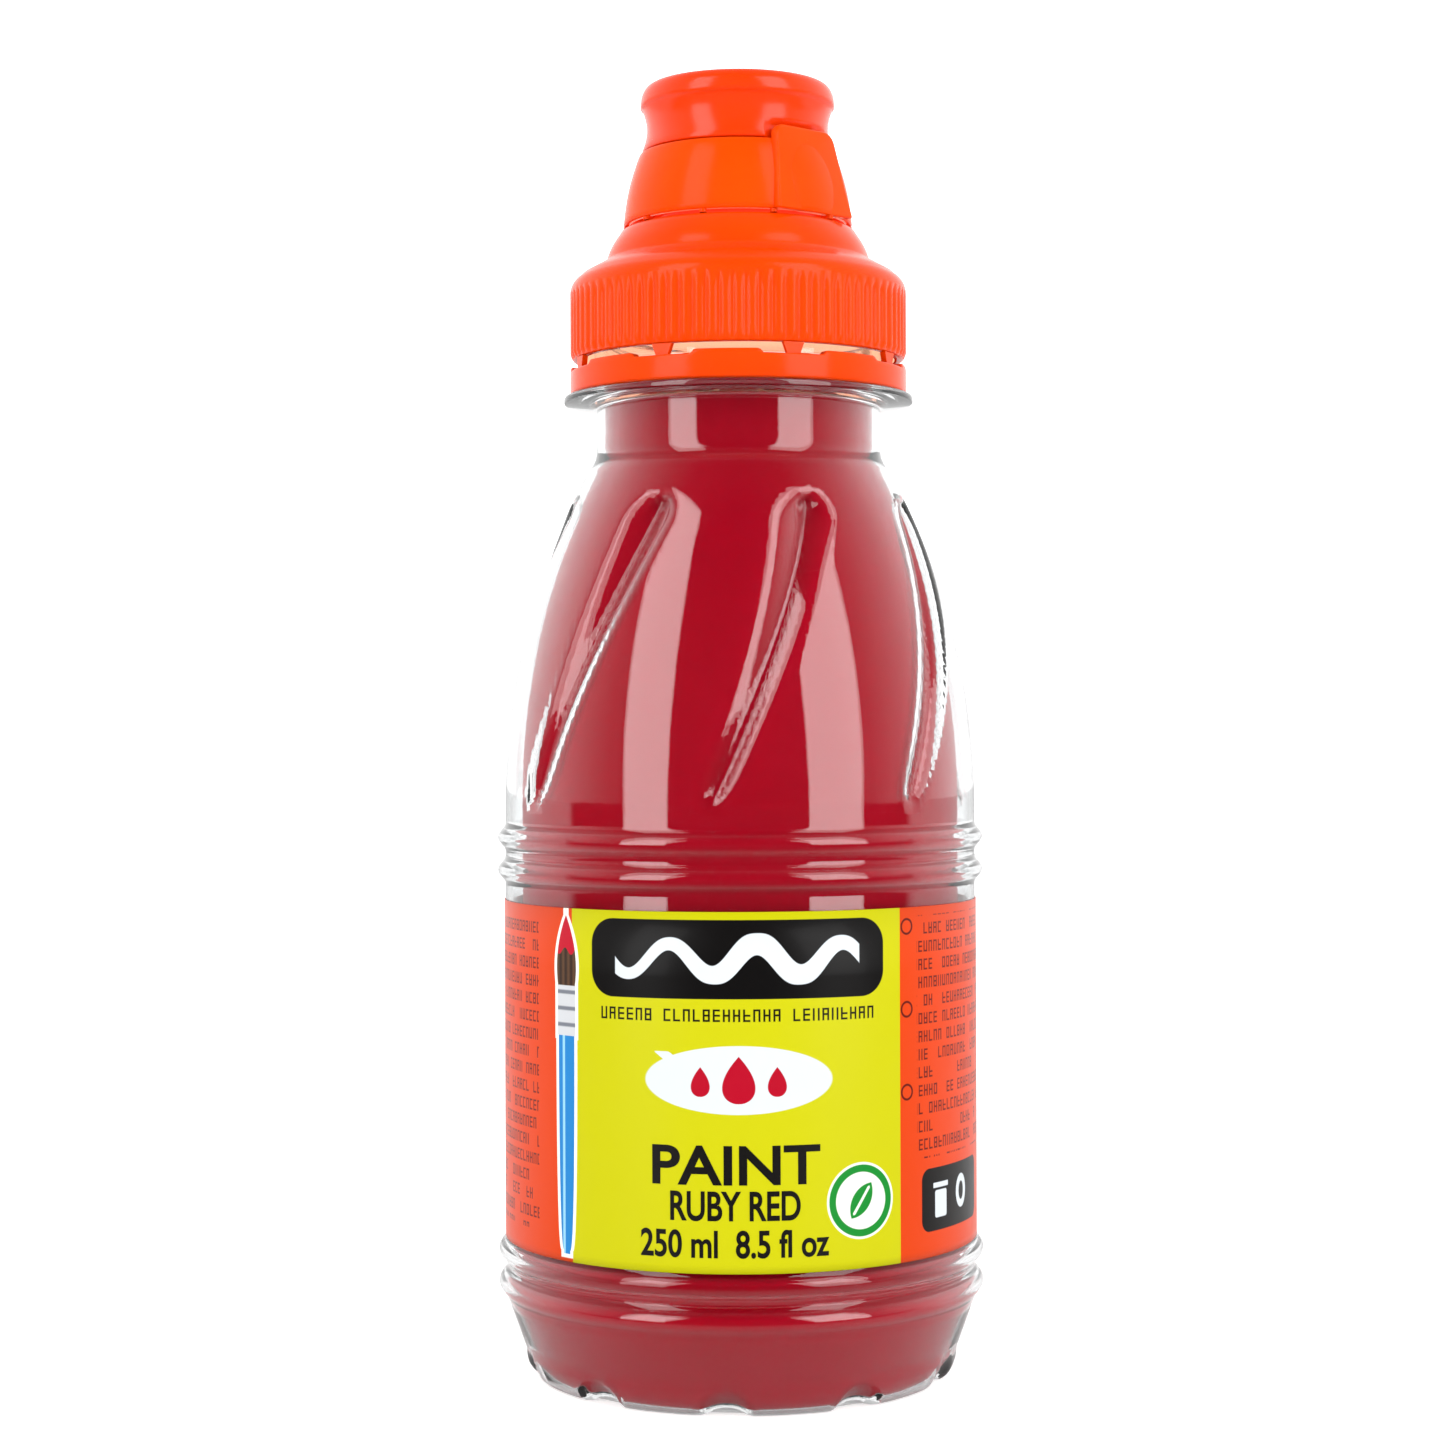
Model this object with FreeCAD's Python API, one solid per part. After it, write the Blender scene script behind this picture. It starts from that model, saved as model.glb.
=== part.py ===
import FreeCAD, Part
import math
import os

# Squeeze bottle of poster paint with a push-pull dispensing cap.
# The bottle stands on the plane z = 0 with its axis on Z. Its front faces -Y.
# Sizes are in millimetres and angles in degrees, with azimuths counted from the front towards +X.

# Bottle body
body_radius = 28.85
foot_radius = 24.3
foot_ring_width = 4.0
foot_round = 3.4
foot_round_reach = 0.68
foot_round_lift = 0.36
base_height = 9.5
base_draft = 2.35
push_up = 4.5
push_up_fullness = 0.78
ring_pitch = 4.0
ring_stand = 0.95
ring_dip = 0.15
rings_per_group = 2
panel_height = 42.3
shoulder_straight = 4.2
shoulder_height = 42.5
body_wall = 0.8
film_gap = 0.1

# Slanted flutes pressed into the shoulder
flute_count = 7
flute_azimuth = 23.4
flute_sweep = -31.0
flute_top_drop = 6.7
flute_bottom_rise = 0.0
flute_top_width = 6.4
flute_bottom_width = 2.8
flute_top_depth = 1.7
flute_bottom_depth = 0.8
flute_tip = 0.28
flute_tip_length = 0.12

# Notches pressed into the edge of the foot
notch_count = 10
notch_azimuth = -4.5
notch_width = 6.0
notch_depth = 1.2

# Neck and finish
neck_radius = 17.5
neck_height = 5.8
neck_blend = 2.2
neck_bore = 16.5
flange_stand = 4.0
flange_thick = 0.9
flange_cone = 0.5
finish_radius = 17.75
finish_height = 13.1
bead_stand = 1.35
bead_rise = 2.2
bead_thick = 1.0
thread_lead = 4.23
thread_depth = 1.05
thread_base = 1.6
thread_crest = 0.7
thread_root = 0.1
neck_thread_turns = 1.4
cap_thread_turns = 1.2
neck_thread_start = 5.6

# Fill and label
paint_level = 121.5
label_foot_margin = -0.4
label_head_margin = 1.6
label_thick = 0.12
glue_gap = 0.02

# Tamper band with its bridges
band_gap = 0.2
band_height = 2.9
band_land = 0.5
band_land_angle = 22.0
band_wall = 1.5
band_tooth = 0.95
band_tooth_height = 1.1
bridge_count = 8
bridge_azimuth = 18.4
bridge_top_width = 2.6
bridge_foot_width = 1.6
bridge_wall = 0.7
skirt_gap = 1.4
break_gap = 0.05

# Screw cap
thread_clearance = 0.25
skirt_wall = 1.25
rib_count = 80
rib_stand = 0.4
rib_flank = 0.3
skirt_height = 8.2
skirt_round = 2.4
skirt_round_reach = 0.6
skirt_round_lift = 0.58
deck_wall = 1.3
dome_foot_stand = 2.2
dome_rise = 3.95
crown_rise = 4.05
dome_bulge = 0.2
chimney_radius = 8.95
chimney_wall = 1.05
chimney_height = 9.5
stop_bead = 0.45
stop_bead_height = 1.5
pin_radius = 1.85
web_count = 3
web_thick = 1.2
web_height = 2.0

# Seal ring between the cap and the mouth
seal_thick = 1.1
seal_squeeze = 0.05

# Push-pull spout
slide_clearance = 0.15
bead_clearance = 0.05
sleeve_wall = 0.8
spout_foot_gap = 0.6
stop_lip_height = 1.0
waist_foot_stand = 1.35
waist_stand = 0.73
flare_stand = 1.55
rim_stand = 0.2
rim_bulge = 0.3
waist_foot_rise = 9.35
waist_rise = 12.35
flare_rise = 15.6
spout_rise = 17.6
spout_dish = 1.4
spout_plate = 1.2
orifice_radius = 2.0

# Tear strip with its pull tab
strip_gap = 0.4
strip_foot_stand = 3.7
strip_top_stand = 1.7
strip_wall = 0.95
strip_bulge = 0.35
strip_top_gap = 0.15
tab_azimuth = 43.0
tab_foot_inset = 0.2
tab_foot_half_width = 6.2
tab_top_half_width = 4.7
tab_rise = 10.9
tab_wall = 1.2
tab_clearance = 0.2
tab_corner = 1.0
strip_bridge_count = 10
strip_bridge_width = 0.9

# Heights and radii that follow from the sizes above
ring_group = rings_per_group * ring_pitch
panel_low = base_height + ring_group
panel_high = panel_low + panel_height
shoulder_low = panel_high + ring_group + shoulder_straight - ring_pitch / 2.0
shoulder_high = shoulder_low + shoulder_height
flange_foot = shoulder_high + neck_height
flange_low = flange_foot + flange_cone
flange_high = flange_low + flange_thick
flange_radius = neck_radius + flange_stand
mouth_height = flange_high + finish_height
thread_radius = finish_radius + thread_depth
bead_radius = finish_radius + bead_stand
cap_inner_radius = thread_radius + thread_clearance
skirt_root_radius = cap_inner_radius + skirt_wall
skirt_radius = skirt_root_radius + rib_stand
band_low = flange_high + band_gap
band_slot = band_low + band_height
skirt_low = band_slot + skirt_gap
skirt_high = skirt_low + skirt_height
seat_height = mouth_height + seal_thick - seal_squeeze
dome_foot = skirt_high + dome_rise
crown_height = dome_foot + crown_rise
chimney_top = crown_height + chimney_height
spout_foot = crown_height + spout_foot_gap
strip_foot = crown_height + strip_gap
strip_top = crown_height + waist_foot_rise - strip_top_gap
spout_top = crown_height + spout_rise
spout_bore = chimney_radius + stop_bead + slide_clearance + bead_clearance
sleeve_radius = spout_bore + sleeve_wall
waist_foot_radius = sleeve_radius + waist_foot_stand
waist_radius = sleeve_radius + waist_stand
flare_radius = sleeve_radius + flare_stand
spout_rim_radius = sleeve_radius + rim_stand
strip_foot_radius = sleeve_radius + strip_foot_stand
strip_top_radius = sleeve_radius + strip_top_stand
dome_foot_radius = strip_foot_radius + dome_foot_stand
tab_foot_distance = strip_foot_radius - tab_foot_inset
tab_top_distance = sleeve_radius + tab_clearance + tab_wall
tab_lean = (tab_foot_distance - tab_top_distance) / (tab_rise - strip_gap)
tab_sweep = tab_lean * max(0.0, tab_rise - waist_foot_rise)


def turned(edges):
    """A solid turned about Z from the closed outline that the edges make in the XZ plane."""
    wire = Part.Wire(Part.__sortEdges__(edges))
    return Part.Face(wire).revolve(FreeCAD.Vector(0, 0, 0), FreeCAD.Vector(0, 0, 1), 360)


def point(radius, height):
    """A point of an outline, in the XZ plane."""
    return FreeCAD.Vector(radius, 0, height)


def lines(*corners):
    """Straight edges through the corners, given as (radius, height)."""
    spots = [point(*corner) for corner in corners]
    return [Part.makeLine(a, b) for a, b in zip(spots, spots[1:])]


def arc(start, middle, end):
    """A round edge from start through middle to end, each given as (radius, height)."""
    return Part.Arc(point(*start), point(*middle), point(*end)).toShape()


def smooth(*corners):
    """One smooth edge through the corners, given as (radius, height)."""
    curve = Part.BSplineCurve()
    curve.interpolate([point(*corner) for corner in corners])
    return curve.toShape()


def polar(radius, azimuth, height):
    """A point at a radius from the axis and an azimuth from the front."""
    turn = math.radians(azimuth)
    return FreeCAD.Vector(radius * math.sin(turn), -radius * math.cos(turn), height)


def ring_wave(low, inset):
    """The outline of a group of rings that stand proud of the wall, from the panel's radius and back."""
    middle = (ring_stand - ring_dip) / 2.0
    swing = (ring_stand + ring_dip) / 2.0
    steps = 8 * rings_per_group
    start = low + ring_pitch * math.acos(middle / swing) / math.tau
    end = low + ring_group - (start - low)
    heights = [start + (end - start) * i / steps for i in range(steps + 1)]
    centre = body_radius - inset + middle
    radii = [centre - swing * math.cos(math.tau * (z - low) / ring_pitch) for z in heights]
    return smooth(*zip(radii, heights))


def shoulder_radius_at(height, inset):
    """The shoulder's radius at a height: an arc that leaves the body upright and ends at the neck."""
    wide = body_radius - inset
    narrow = neck_bore - inset + body_wall if inset else neck_radius
    drop = wide - narrow
    sweep = (shoulder_height ** 2 + drop ** 2) / (2.0 * drop)
    return wide - sweep + math.sqrt(sweep ** 2 - (height - shoulder_low) ** 2)


def shoulder_edges(inset):
    """The shoulder's arc and the small hollow blend that leads it into the neck."""
    low = (shoulder_radius_at(shoulder_low, inset), shoulder_low)
    half = (low[1] + shoulder_high - neck_blend) / 2.0
    end_height = shoulder_high - neck_blend
    end = (shoulder_radius_at(end_height, inset), end_height)
    corner = shoulder_radius_at(shoulder_high, inset)
    turn = math.atan((end[0] - corner) / neck_blend)
    blend = neck_blend / math.tan(turn / 2.0) * (1.0 / math.cos(turn / 2.0) - 1.0)
    middle = (corner + blend * math.cos(turn / 2.0), shoulder_high + blend * math.sin(turn / 2.0))
    neck_point = (corner, shoulder_high + neck_blend)
    bulge = arc(low, (shoulder_radius_at(half, inset), half), end)
    return [bulge, arc(end, middle, neck_point)], neck_point


def body_edges(inset):
    """The outline from the middle of the base up to the start of the neck."""
    foot = foot_radius - inset
    ring_start = foot_radius - foot_ring_width - inset
    side = body_radius - base_draft - inset
    crown = (0.0, push_up + inset)
    inner = (ring_start, inset)
    rise = crown[1] - inner[1]
    dome = (ring_start / 2.0, inner[1] + rise * push_up_fullness)
    round_end = (side, foot_round + inset)
    round_middle = (foot + (side - foot) * foot_round_reach, inset + foot_round * foot_round_lift)
    lower_rings = ring_wave(base_height, inset)
    upper_rings = ring_wave(panel_high, inset)
    starts = [rings.Vertexes[0].Point for rings in (lower_rings, upper_rings)]
    ends = [rings.Vertexes[-1].Point for rings in (lower_rings, upper_rings)]
    shoulder, neck_point = shoulder_edges(inset)
    edges = [arc(crown, dome, inner)]
    edges += lines(inner, (foot, inset))
    edges.append(arc((foot, inset), round_middle, round_end))
    edges += lines(round_end, (starts[0].x, starts[0].z))
    edges.append(lower_rings)
    edges += lines((ends[0].x, ends[0].z), (starts[1].x, starts[1].z))
    edges.append(upper_rings)
    edges += lines((ends[1].x, ends[1].z), (shoulder_radius_at(shoulder_low, inset), shoulder_low))
    return edges + shoulder, crown, neck_point


def flute_tool(azimuth, extra):
    """A tapered round bar laid along the shoulder, whose inner side leaves one slanted flute."""
    top = shoulder_high - flute_top_drop
    bottom = shoulder_low + flute_bottom_rise
    shares = (0.0, 0.03, 0.09, 0.2, 0.4, 0.6, 0.8, 0.93, 1.0)
    centres = []
    radii = []
    for share in shares:
        fade = min(1.0, flute_tip + min(share, 1.0 - share) / flute_tip_length)
        width = (flute_top_width + (flute_bottom_width - flute_top_width) * share) * fade
        depth = (flute_top_depth + (flute_bottom_depth - flute_top_depth) * share) * fade
        bar = (width ** 2 / 4.0 + depth ** 2) / (2.0 * depth)
        height = top + (bottom - top) * share
        radius = shoulder_radius_at(height, 0.0) + bar - depth
        centres.append(polar(radius, azimuth + flute_sweep * share, height))
        radii.append(bar + extra)
    first = (centres[0] - centres[1]).normalize()
    last = (centres[-1] - centres[-2]).normalize()
    centres[0] = centres[0] + first * extra
    centres[-1] = centres[-1] + last * extra
    path = Part.BSplineCurve()
    path.interpolate(centres)
    sections = []
    for centre, radius in zip(centres, radii):
        along = path.tangent(path.parameter(centre))[0]
        sections.append(Part.Wire(Part.makeCircle(radius, centre, along)))
    return Part.makeLoft(sections, True, False)


def notch_tool(azimuth, extra):
    """A round bar that leans out and up past the foot's edge and leaves one notch in it."""
    bar = (notch_width ** 2 / 4.0 + notch_depth ** 2) / (2.0 * notch_depth)
    lean = 1.0 / math.sqrt(2.0)
    out = polar(1.0, azimuth, 0.0)
    along = (out + FreeCAD.Vector(0, 0, 1)).normalize()
    reach = 6.0 * notch_depth + notch_width
    centre = out * (foot_radius + bar * lean) + FreeCAD.Vector(0, 0, notch_depth - bar * lean)
    return Part.makeCylinder(bar + extra, 2.0 * reach, centre - along * reach, along)


def press(solid, extra):
    """The solid with all its flutes and foot notches taken out."""
    tools = [flute_tool(flute_azimuth + 360.0 * i / flute_count, extra) for i in range(flute_count)]
    tools += [notch_tool(notch_azimuth + 360.0 * i / notch_count, extra) for i in range(notch_count)]
    for tool in tools:
        solid = solid.cut(tool)
    return solid


def cavity(gap, top):
    """The room inside the bottle, a gap smaller all round, up to a height."""
    inset = body_wall + gap
    edges, crown, neck_point = body_edges(inset)
    edges += lines(neck_point, (neck_point[0], top), (0.0, top), crown)
    return press(turned(edges), inset)


def thread_ridge(radius, reach, turns, start, phase):
    """A helical ridge that stands from a wall at the radius by the reach, inwards where it is negative."""
    sink = -math.copysign(thread_root, reach)
    helix = Part.makeLongHelix(thread_lead, thread_lead * turns, radius)
    half_base = thread_base / 2.0
    half_crest = thread_crest / 2.0
    corners = [
        point(radius + sink, -half_base),
        point(radius + reach, -half_crest),
        point(radius + reach, half_crest),
        point(radius + sink, half_base),
    ]
    section = Part.makePolygon(corners + corners[:1])
    ridge = Part.Wire(helix).makePipeShell([section], True, True)
    ridge.rotate(FreeCAD.Vector(0, 0, 0), FreeCAD.Vector(0, 0, 1), phase)
    ridge.translate(FreeCAD.Vector(0, 0, start))
    return ridge


def bottle():
    """The blown shell with its support flange, bead, thread and open mouth."""
    edges, crown, neck_point = body_edges(0.0)
    bead_low = flange_high + bead_rise
    edges += lines(
        neck_point,
        (neck_radius, flange_foot),
        (flange_radius, flange_low),
        (flange_radius, flange_high),
        (finish_radius, flange_high),
        (finish_radius, bead_low),
        (bead_radius, bead_low),
        (finish_radius, bead_low + bead_thick),
        (finish_radius, mouth_height),
        (0.0, mouth_height),
        crown,
    )
    shell = press(turned(edges), 0.0)
    shell = shell.cut(cavity(0.0, mouth_height + body_wall))
    ridge = thread_ridge(finish_radius, thread_depth, neck_thread_turns, flange_high + neck_thread_start, 0.0)
    return shell.fuse(ridge)


def paint():
    """The filling, a film's thickness clear of the wall, up to its level in the neck."""
    return cavity(film_gap, paint_level)


def label():
    """The wrap-round label in the panel between the two groups of rings."""
    inner = body_radius + glue_gap
    low = panel_low + label_foot_margin
    label_height = panel_high - label_head_margin - low
    outer_sleeve = Part.makeCylinder(inner + label_thick, label_height, point(0, low))
    return outer_sleeve.cut(Part.makeCylinder(inner, label_height, point(0, low)))


def tamper_band():
    """The ring left on the neck, with a tooth under the bottle's bead and raised lands on its top edge."""
    inner = skirt_radius - band_wall
    tooth = finish_radius + band_tooth
    top = band_slot
    outline = lines(
        (inner, band_low),
        (skirt_radius, band_low),
        (skirt_radius, top),
        (inner, top),
        (inner, band_low + band_tooth_height + inner - tooth),
        (tooth, band_low + band_tooth_height),
        (tooth, band_low + band_tooth_height / 2.0),
        (inner, band_low),
    )
    band = turned(outline)
    for i in range(bridge_count):
        middle = bridge_azimuth + 360.0 * (i + 0.5) / bridge_count
        up = FreeCAD.Vector(0, 0, 1)
        land = Part.makeCylinder(skirt_radius, band_land, point(0, top), up, band_land_angle)
        land = land.cut(Part.makeCylinder(inner, band_land, point(0, top)))
        land.rotate(FreeCAD.Vector(0, 0, 0), FreeCAD.Vector(0, 0, 1), middle - 90.0 - band_land_angle / 2.0)
        band = band.fuse(land)
    return band.removeSplitter()


def band_bridges():
    """The thin posts between the band and the skirt, wider at the top, that snap at the first opening."""
    outer = skirt_root_radius
    height = skirt_gap - break_gap
    posts = []
    for i in range(bridge_count):
        foot = bridge_foot_width / 2.0
        head = bridge_top_width / 2.0
        corners = [
            FreeCAD.Vector(-foot, 0, 0),
            FreeCAD.Vector(foot, 0, 0),
            FreeCAD.Vector(head, 0, height),
            FreeCAD.Vector(-head, 0, height),
        ]
        outline = Part.Face(Part.makePolygon(corners + corners[:1]))
        post = outline.extrude(FreeCAD.Vector(0, -bridge_wall, 0))
        post.translate(FreeCAD.Vector(0, bridge_wall - outer, band_slot))
        azimuth = bridge_azimuth + 360.0 * i / bridge_count
        post.rotate(FreeCAD.Vector(0, 0, 0), FreeCAD.Vector(0, 0, 1), azimuth)
        posts.append(post)
    return Part.makeCompound(posts)


def skirt_ribs():
    """The ribbed sleeve of the skirt, whose outline steps out and in once for each rib."""
    corners = []
    for i in range(rib_count):
        corners.append(polar(skirt_root_radius, 360.0 * i / rib_count, skirt_low))
        corners.append(polar(skirt_radius, 360.0 * (i + rib_flank) / rib_count, skirt_low))
        corners.append(polar(skirt_radius, 360.0 * (i + 1.0 - rib_flank) / rib_count, skirt_low))
    outline = Part.Face(Part.makePolygon(corners + corners[:1]))
    sleeve = outline.extrude(FreeCAD.Vector(0, 0, skirt_height))
    middle = skirt_root_radius - skirt_wall / 2.0
    return sleeve.cut(Part.makeCylinder(middle, skirt_height, point(0, skirt_low)))


def screw_cap():
    """The threaded cap with its dome, and the chimney with the plug pin that the spout slides on."""
    round_in = skirt_round * skirt_round_reach
    shoulder_end = (skirt_radius - round_in, skirt_high + skirt_round)
    shoulder_middle = (skirt_radius - round_in / 3.0, skirt_high + skirt_round * skirt_round_lift)
    dome_start = (dome_foot_radius, dome_foot)
    dome_end = (strip_foot_radius, crown_height)
    dome_middle = (
        (dome_start[0] + dome_end[0]) / 2.0 + dome_bulge,
        (dome_start[1] + dome_end[1]) / 2.0 + dome_bulge,
    )
    chimney_bore = chimney_radius - chimney_wall
    bead = chimney_radius + stop_bead
    bead_foot = chimney_top - stop_bead_height
    edges = lines(
        (cap_inner_radius, skirt_low),
        (skirt_root_radius, skirt_low),
        (skirt_root_radius, skirt_high),
        (skirt_radius, skirt_high),
    )
    edges.append(arc((skirt_radius, skirt_high), shoulder_middle, shoulder_end))
    edges += lines(shoulder_end, dome_start)
    edges.append(arc(dome_start, dome_middle, dome_end))
    edges += lines(
        dome_end,
        (chimney_radius, crown_height),
        (chimney_radius, bead_foot),
        (bead, bead_foot + stop_bead),
        (bead, chimney_top - stop_bead),
        (chimney_radius, chimney_top),
        (chimney_bore, chimney_top),
        (chimney_bore, crown_height - deck_wall),
        (strip_foot_radius - deck_wall, crown_height - deck_wall),
        (dome_foot_radius - deck_wall, dome_foot - deck_wall),
        (dome_foot_radius - deck_wall, seat_height),
        (cap_inner_radius, seat_height),
        (cap_inner_radius, skirt_low),
    )
    cap = turned(edges).fuse(skirt_ribs())
    ridge = thread_ridge(cap_inner_radius, -thread_depth, cap_thread_turns, cap_thread_height(), 180.0)
    cap = cap.fuse(ridge)
    pin_top = crown_height + spout_rise - spout_dish - thread_clearance
    web_low = chimney_top - web_height
    cap = cap.fuse(Part.makeCylinder(pin_radius, pin_top - web_low, point(0, web_low)))
    for i in range(web_count):
        web = Part.makeBox(chimney_bore + chimney_wall / 2.0, web_thick, web_height)
        web.translate(FreeCAD.Vector(0, -web_thick / 2.0, web_low))
        web.rotate(FreeCAD.Vector(0, 0, 0), FreeCAD.Vector(0, 0, 1), 360.0 * i / web_count)
        cap = cap.fuse(web)
    return cap.removeSplitter()


def cap_thread_height():
    """The cap's ridge runs midway between the turns of the neck's ridge when the cap is closed."""
    lowest = skirt_low + thread_base / 2.0 + thread_clearance / 2.0
    neck_start = flange_high + neck_thread_start
    turns_up = math.ceil((lowest - neck_start) / thread_lead)
    return neck_start + thread_lead * turns_up


def seal_ring():
    """The soft ring between the mouth and the cap's seat."""
    low = mouth_height + seal_squeeze
    height = seat_height - seal_squeeze - low
    ring = Part.makeCylinder(cap_inner_radius - thread_clearance, height, point(0, low))
    return ring.cut(Part.makeCylinder(neck_bore - thread_clearance, height, point(0, low)))


def tab_wedge(distance_shift, side_shift, top_shift):
    """The flat leaning plate of the pull tab, moved in or out, widened or made taller by the shifts."""
    foot = crown_height + strip_gap
    top = crown_height + tab_rise + top_shift
    top_distance = tab_foot_distance - tab_lean * (top - foot) + distance_shift
    foot_distance = tab_foot_distance + distance_shift
    foot_half = tab_foot_half_width + side_shift
    top_half = tab_top_half_width + side_shift
    corners = [
        FreeCAD.Vector(-foot_half, -foot_distance, foot),
        FreeCAD.Vector(foot_half, -foot_distance, foot),
        FreeCAD.Vector(top_half, -top_distance, top),
        FreeCAD.Vector(-top_half, -top_distance, top),
    ]
    return Part.Face(Part.makePolygon(corners + corners[:1]))


def pull_tab():
    """The tab's plate, with its two top corners rounded."""
    plate = tab_wedge(0.0, 0.0, 0.0).extrude(FreeCAD.Vector(0, tab_wall, 0))
    top = crown_height + tab_rise
    rounded = []
    for edge in plate.Edges:
        ends = [vertex.Point for vertex in edge.Vertexes]
        level = all(abs(spot.z - top) < 0.01 for spot in ends)
        through = abs(ends[0].y - ends[1].y) > tab_wall / 2.0
        if level and through:
            rounded.append(edge)
    plate = plate.makeFillet(tab_corner, rounded)
    plate.rotate(FreeCAD.Vector(0, 0, 0), FreeCAD.Vector(0, 0, 1), tab_azimuth)
    return plate


def strip_radius_at(height):
    """The outer radius of the tear strip, which widens downwards."""
    share = (height - strip_foot) / (strip_top - strip_foot)
    bulge = strip_bulge * math.sin(math.pi * share)
    return strip_foot_radius + (strip_top_radius - strip_foot_radius) * share + bulge


def strip_shell(inset):
    """A solid bell with the strip's outer shape, less an inset."""
    heights = [strip_foot + (strip_top - strip_foot) * i / 4.0 for i in range(5)]
    edges = [smooth(*[(strip_radius_at(z) - inset, z) for z in heights])]
    edges += lines((strip_top_radius - inset, strip_top), (0.0, strip_top), (0.0, strip_foot))
    edges += lines((0.0, strip_foot), (strip_foot_radius - inset, strip_foot))
    return turned(edges)


def tear_strip():
    """The bell-shaped strip round the foot of the spout, in one piece with its pull tab."""
    room = Part.makeCylinder(sleeve_radius + slide_clearance, tab_rise, point(0, strip_foot))
    shell = strip_shell(0.0).cut(strip_shell(strip_wall)).fuse(pull_tab())
    return shell.cut(room).removeSplitter()


def strip_bridges():
    """The small pegs that hold the tear strip to the cap until it's pulled off."""
    middle = strip_foot_radius - strip_wall / 2.0
    pegs = []
    for i in range(strip_bridge_count):
        peg = Part.makeCylinder(strip_bridge_width / 2.0, strip_gap, point(middle, crown_height))
        peg.rotate(FreeCAD.Vector(0, 0, 0), FreeCAD.Vector(0, 0, 1), 360.0 * i / strip_bridge_count)
        pegs.append(peg)
    return Part.makeCompound(pegs)


def tab_room():
    """The room behind the leaning tab, deep enough for the waist to pass it as the spout is pulled up."""
    back = tab_wall + slide_clearance + tab_sweep
    room = tab_wedge(-back, tab_clearance, tab_clearance)
    room = room.extrude(FreeCAD.Vector(0, -2.0 * (tab_wall + back), 0))
    room.rotate(FreeCAD.Vector(0, 0, 0), FreeCAD.Vector(0, 0, 1), tab_azimuth)
    return room.cut(Part.makeCylinder(sleeve_radius, tab_rise + tab_clearance, point(0, crown_height)))


def spout():
    """The spout that pulls up off the plug pin, held by the lip at its foot under the chimney's bead."""
    waist_foot = crown_height + waist_foot_rise
    waist = crown_height + waist_rise
    flare = crown_height + flare_rise
    lip_bore = chimney_radius + slide_clearance
    plate_top = spout_top - spout_dish
    plate_low = plate_top - spout_plate
    rim_bore = spout_rim_radius - spout_dish / 2.0
    lip_top = spout_foot + stop_lip_height
    edges = lines((lip_bore, spout_foot), (sleeve_radius, spout_foot), (sleeve_radius, waist_foot))
    edges += lines((sleeve_radius, waist_foot), (waist_foot_radius, waist_foot))
    edges.append(smooth((waist_foot_radius, waist_foot), (waist_radius, waist), (flare_radius, flare)))
    rim_middle = (flare_radius - rim_bulge, (flare + spout_top) / 2.0 + rim_bulge)
    edges.append(arc((flare_radius, flare), rim_middle, (spout_rim_radius, spout_top)))
    edges += lines(
        (spout_rim_radius, spout_top),
        (rim_bore, spout_top),
        (rim_bore - spout_dish / 2.0, plate_top),
        (orifice_radius, plate_top),
        (orifice_radius, plate_low),
        (spout_bore, plate_low),
        (spout_bore, lip_top),
        (lip_bore, lip_top),
        (lip_bore, spout_foot),
    )
    return turned(edges).cut(tab_room()).removeSplitter()


NODES = {
    "bottle": bottle,
    "paint": paint,
    "label": label,
    "tamper_band": tamper_band,
    "band_bridges": band_bridges,
    "seal_ring": seal_ring,
    "screw_cap": screw_cap,
    "tear_strip": tear_strip,
    "strip_bridges": strip_bridges,
    "spout": spout,
}

os.makedirs("parts", exist_ok=True)
for name, build in NODES.items():
    shape = build()
    print(name, shape.isValid(), len(shape.Solids), round(shape.Volume, 1))
    shape.exportStep("parts/" + name + ".step")
print("height", spout_top, "thread lead", thread_lead)
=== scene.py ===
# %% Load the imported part
import math

import bmesh
import bpy
from mathutils import Matrix, Vector


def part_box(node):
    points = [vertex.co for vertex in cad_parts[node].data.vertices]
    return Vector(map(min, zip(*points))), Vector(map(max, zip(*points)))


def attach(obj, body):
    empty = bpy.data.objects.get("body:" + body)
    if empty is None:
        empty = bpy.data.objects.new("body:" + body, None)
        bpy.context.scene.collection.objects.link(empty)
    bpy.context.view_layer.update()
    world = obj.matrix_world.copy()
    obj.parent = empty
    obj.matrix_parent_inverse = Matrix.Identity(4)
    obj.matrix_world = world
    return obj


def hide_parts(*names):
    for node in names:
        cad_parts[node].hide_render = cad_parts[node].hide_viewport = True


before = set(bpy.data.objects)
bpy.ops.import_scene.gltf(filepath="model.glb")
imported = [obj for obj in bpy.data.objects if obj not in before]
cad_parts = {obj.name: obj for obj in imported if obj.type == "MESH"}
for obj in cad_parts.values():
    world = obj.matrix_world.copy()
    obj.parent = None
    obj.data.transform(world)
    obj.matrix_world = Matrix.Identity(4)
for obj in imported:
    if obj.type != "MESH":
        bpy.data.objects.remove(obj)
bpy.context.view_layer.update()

print("nodes:", ", ".join(sorted(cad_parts)))

# %% [markdown]
# # A bottle of poster paint
# The bottle is a clear blown shell that holds crimson paint, with a printed label round its
# waist. Its cap is turned from a few shells: a ribbed screw cap, a bell-shaped tear strip with
# a pull tab, and a spout that slides up to pour. Nearly every piece is round about one upright
# axis, so nearly every piece starts as half an outline that is spun. What isn't round, such as
# the slanted flutes, the notched foot and the grip ribs, is then pressed into the spun mesh by
# moving its vertices, just as a mould presses it into the real wall.

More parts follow.
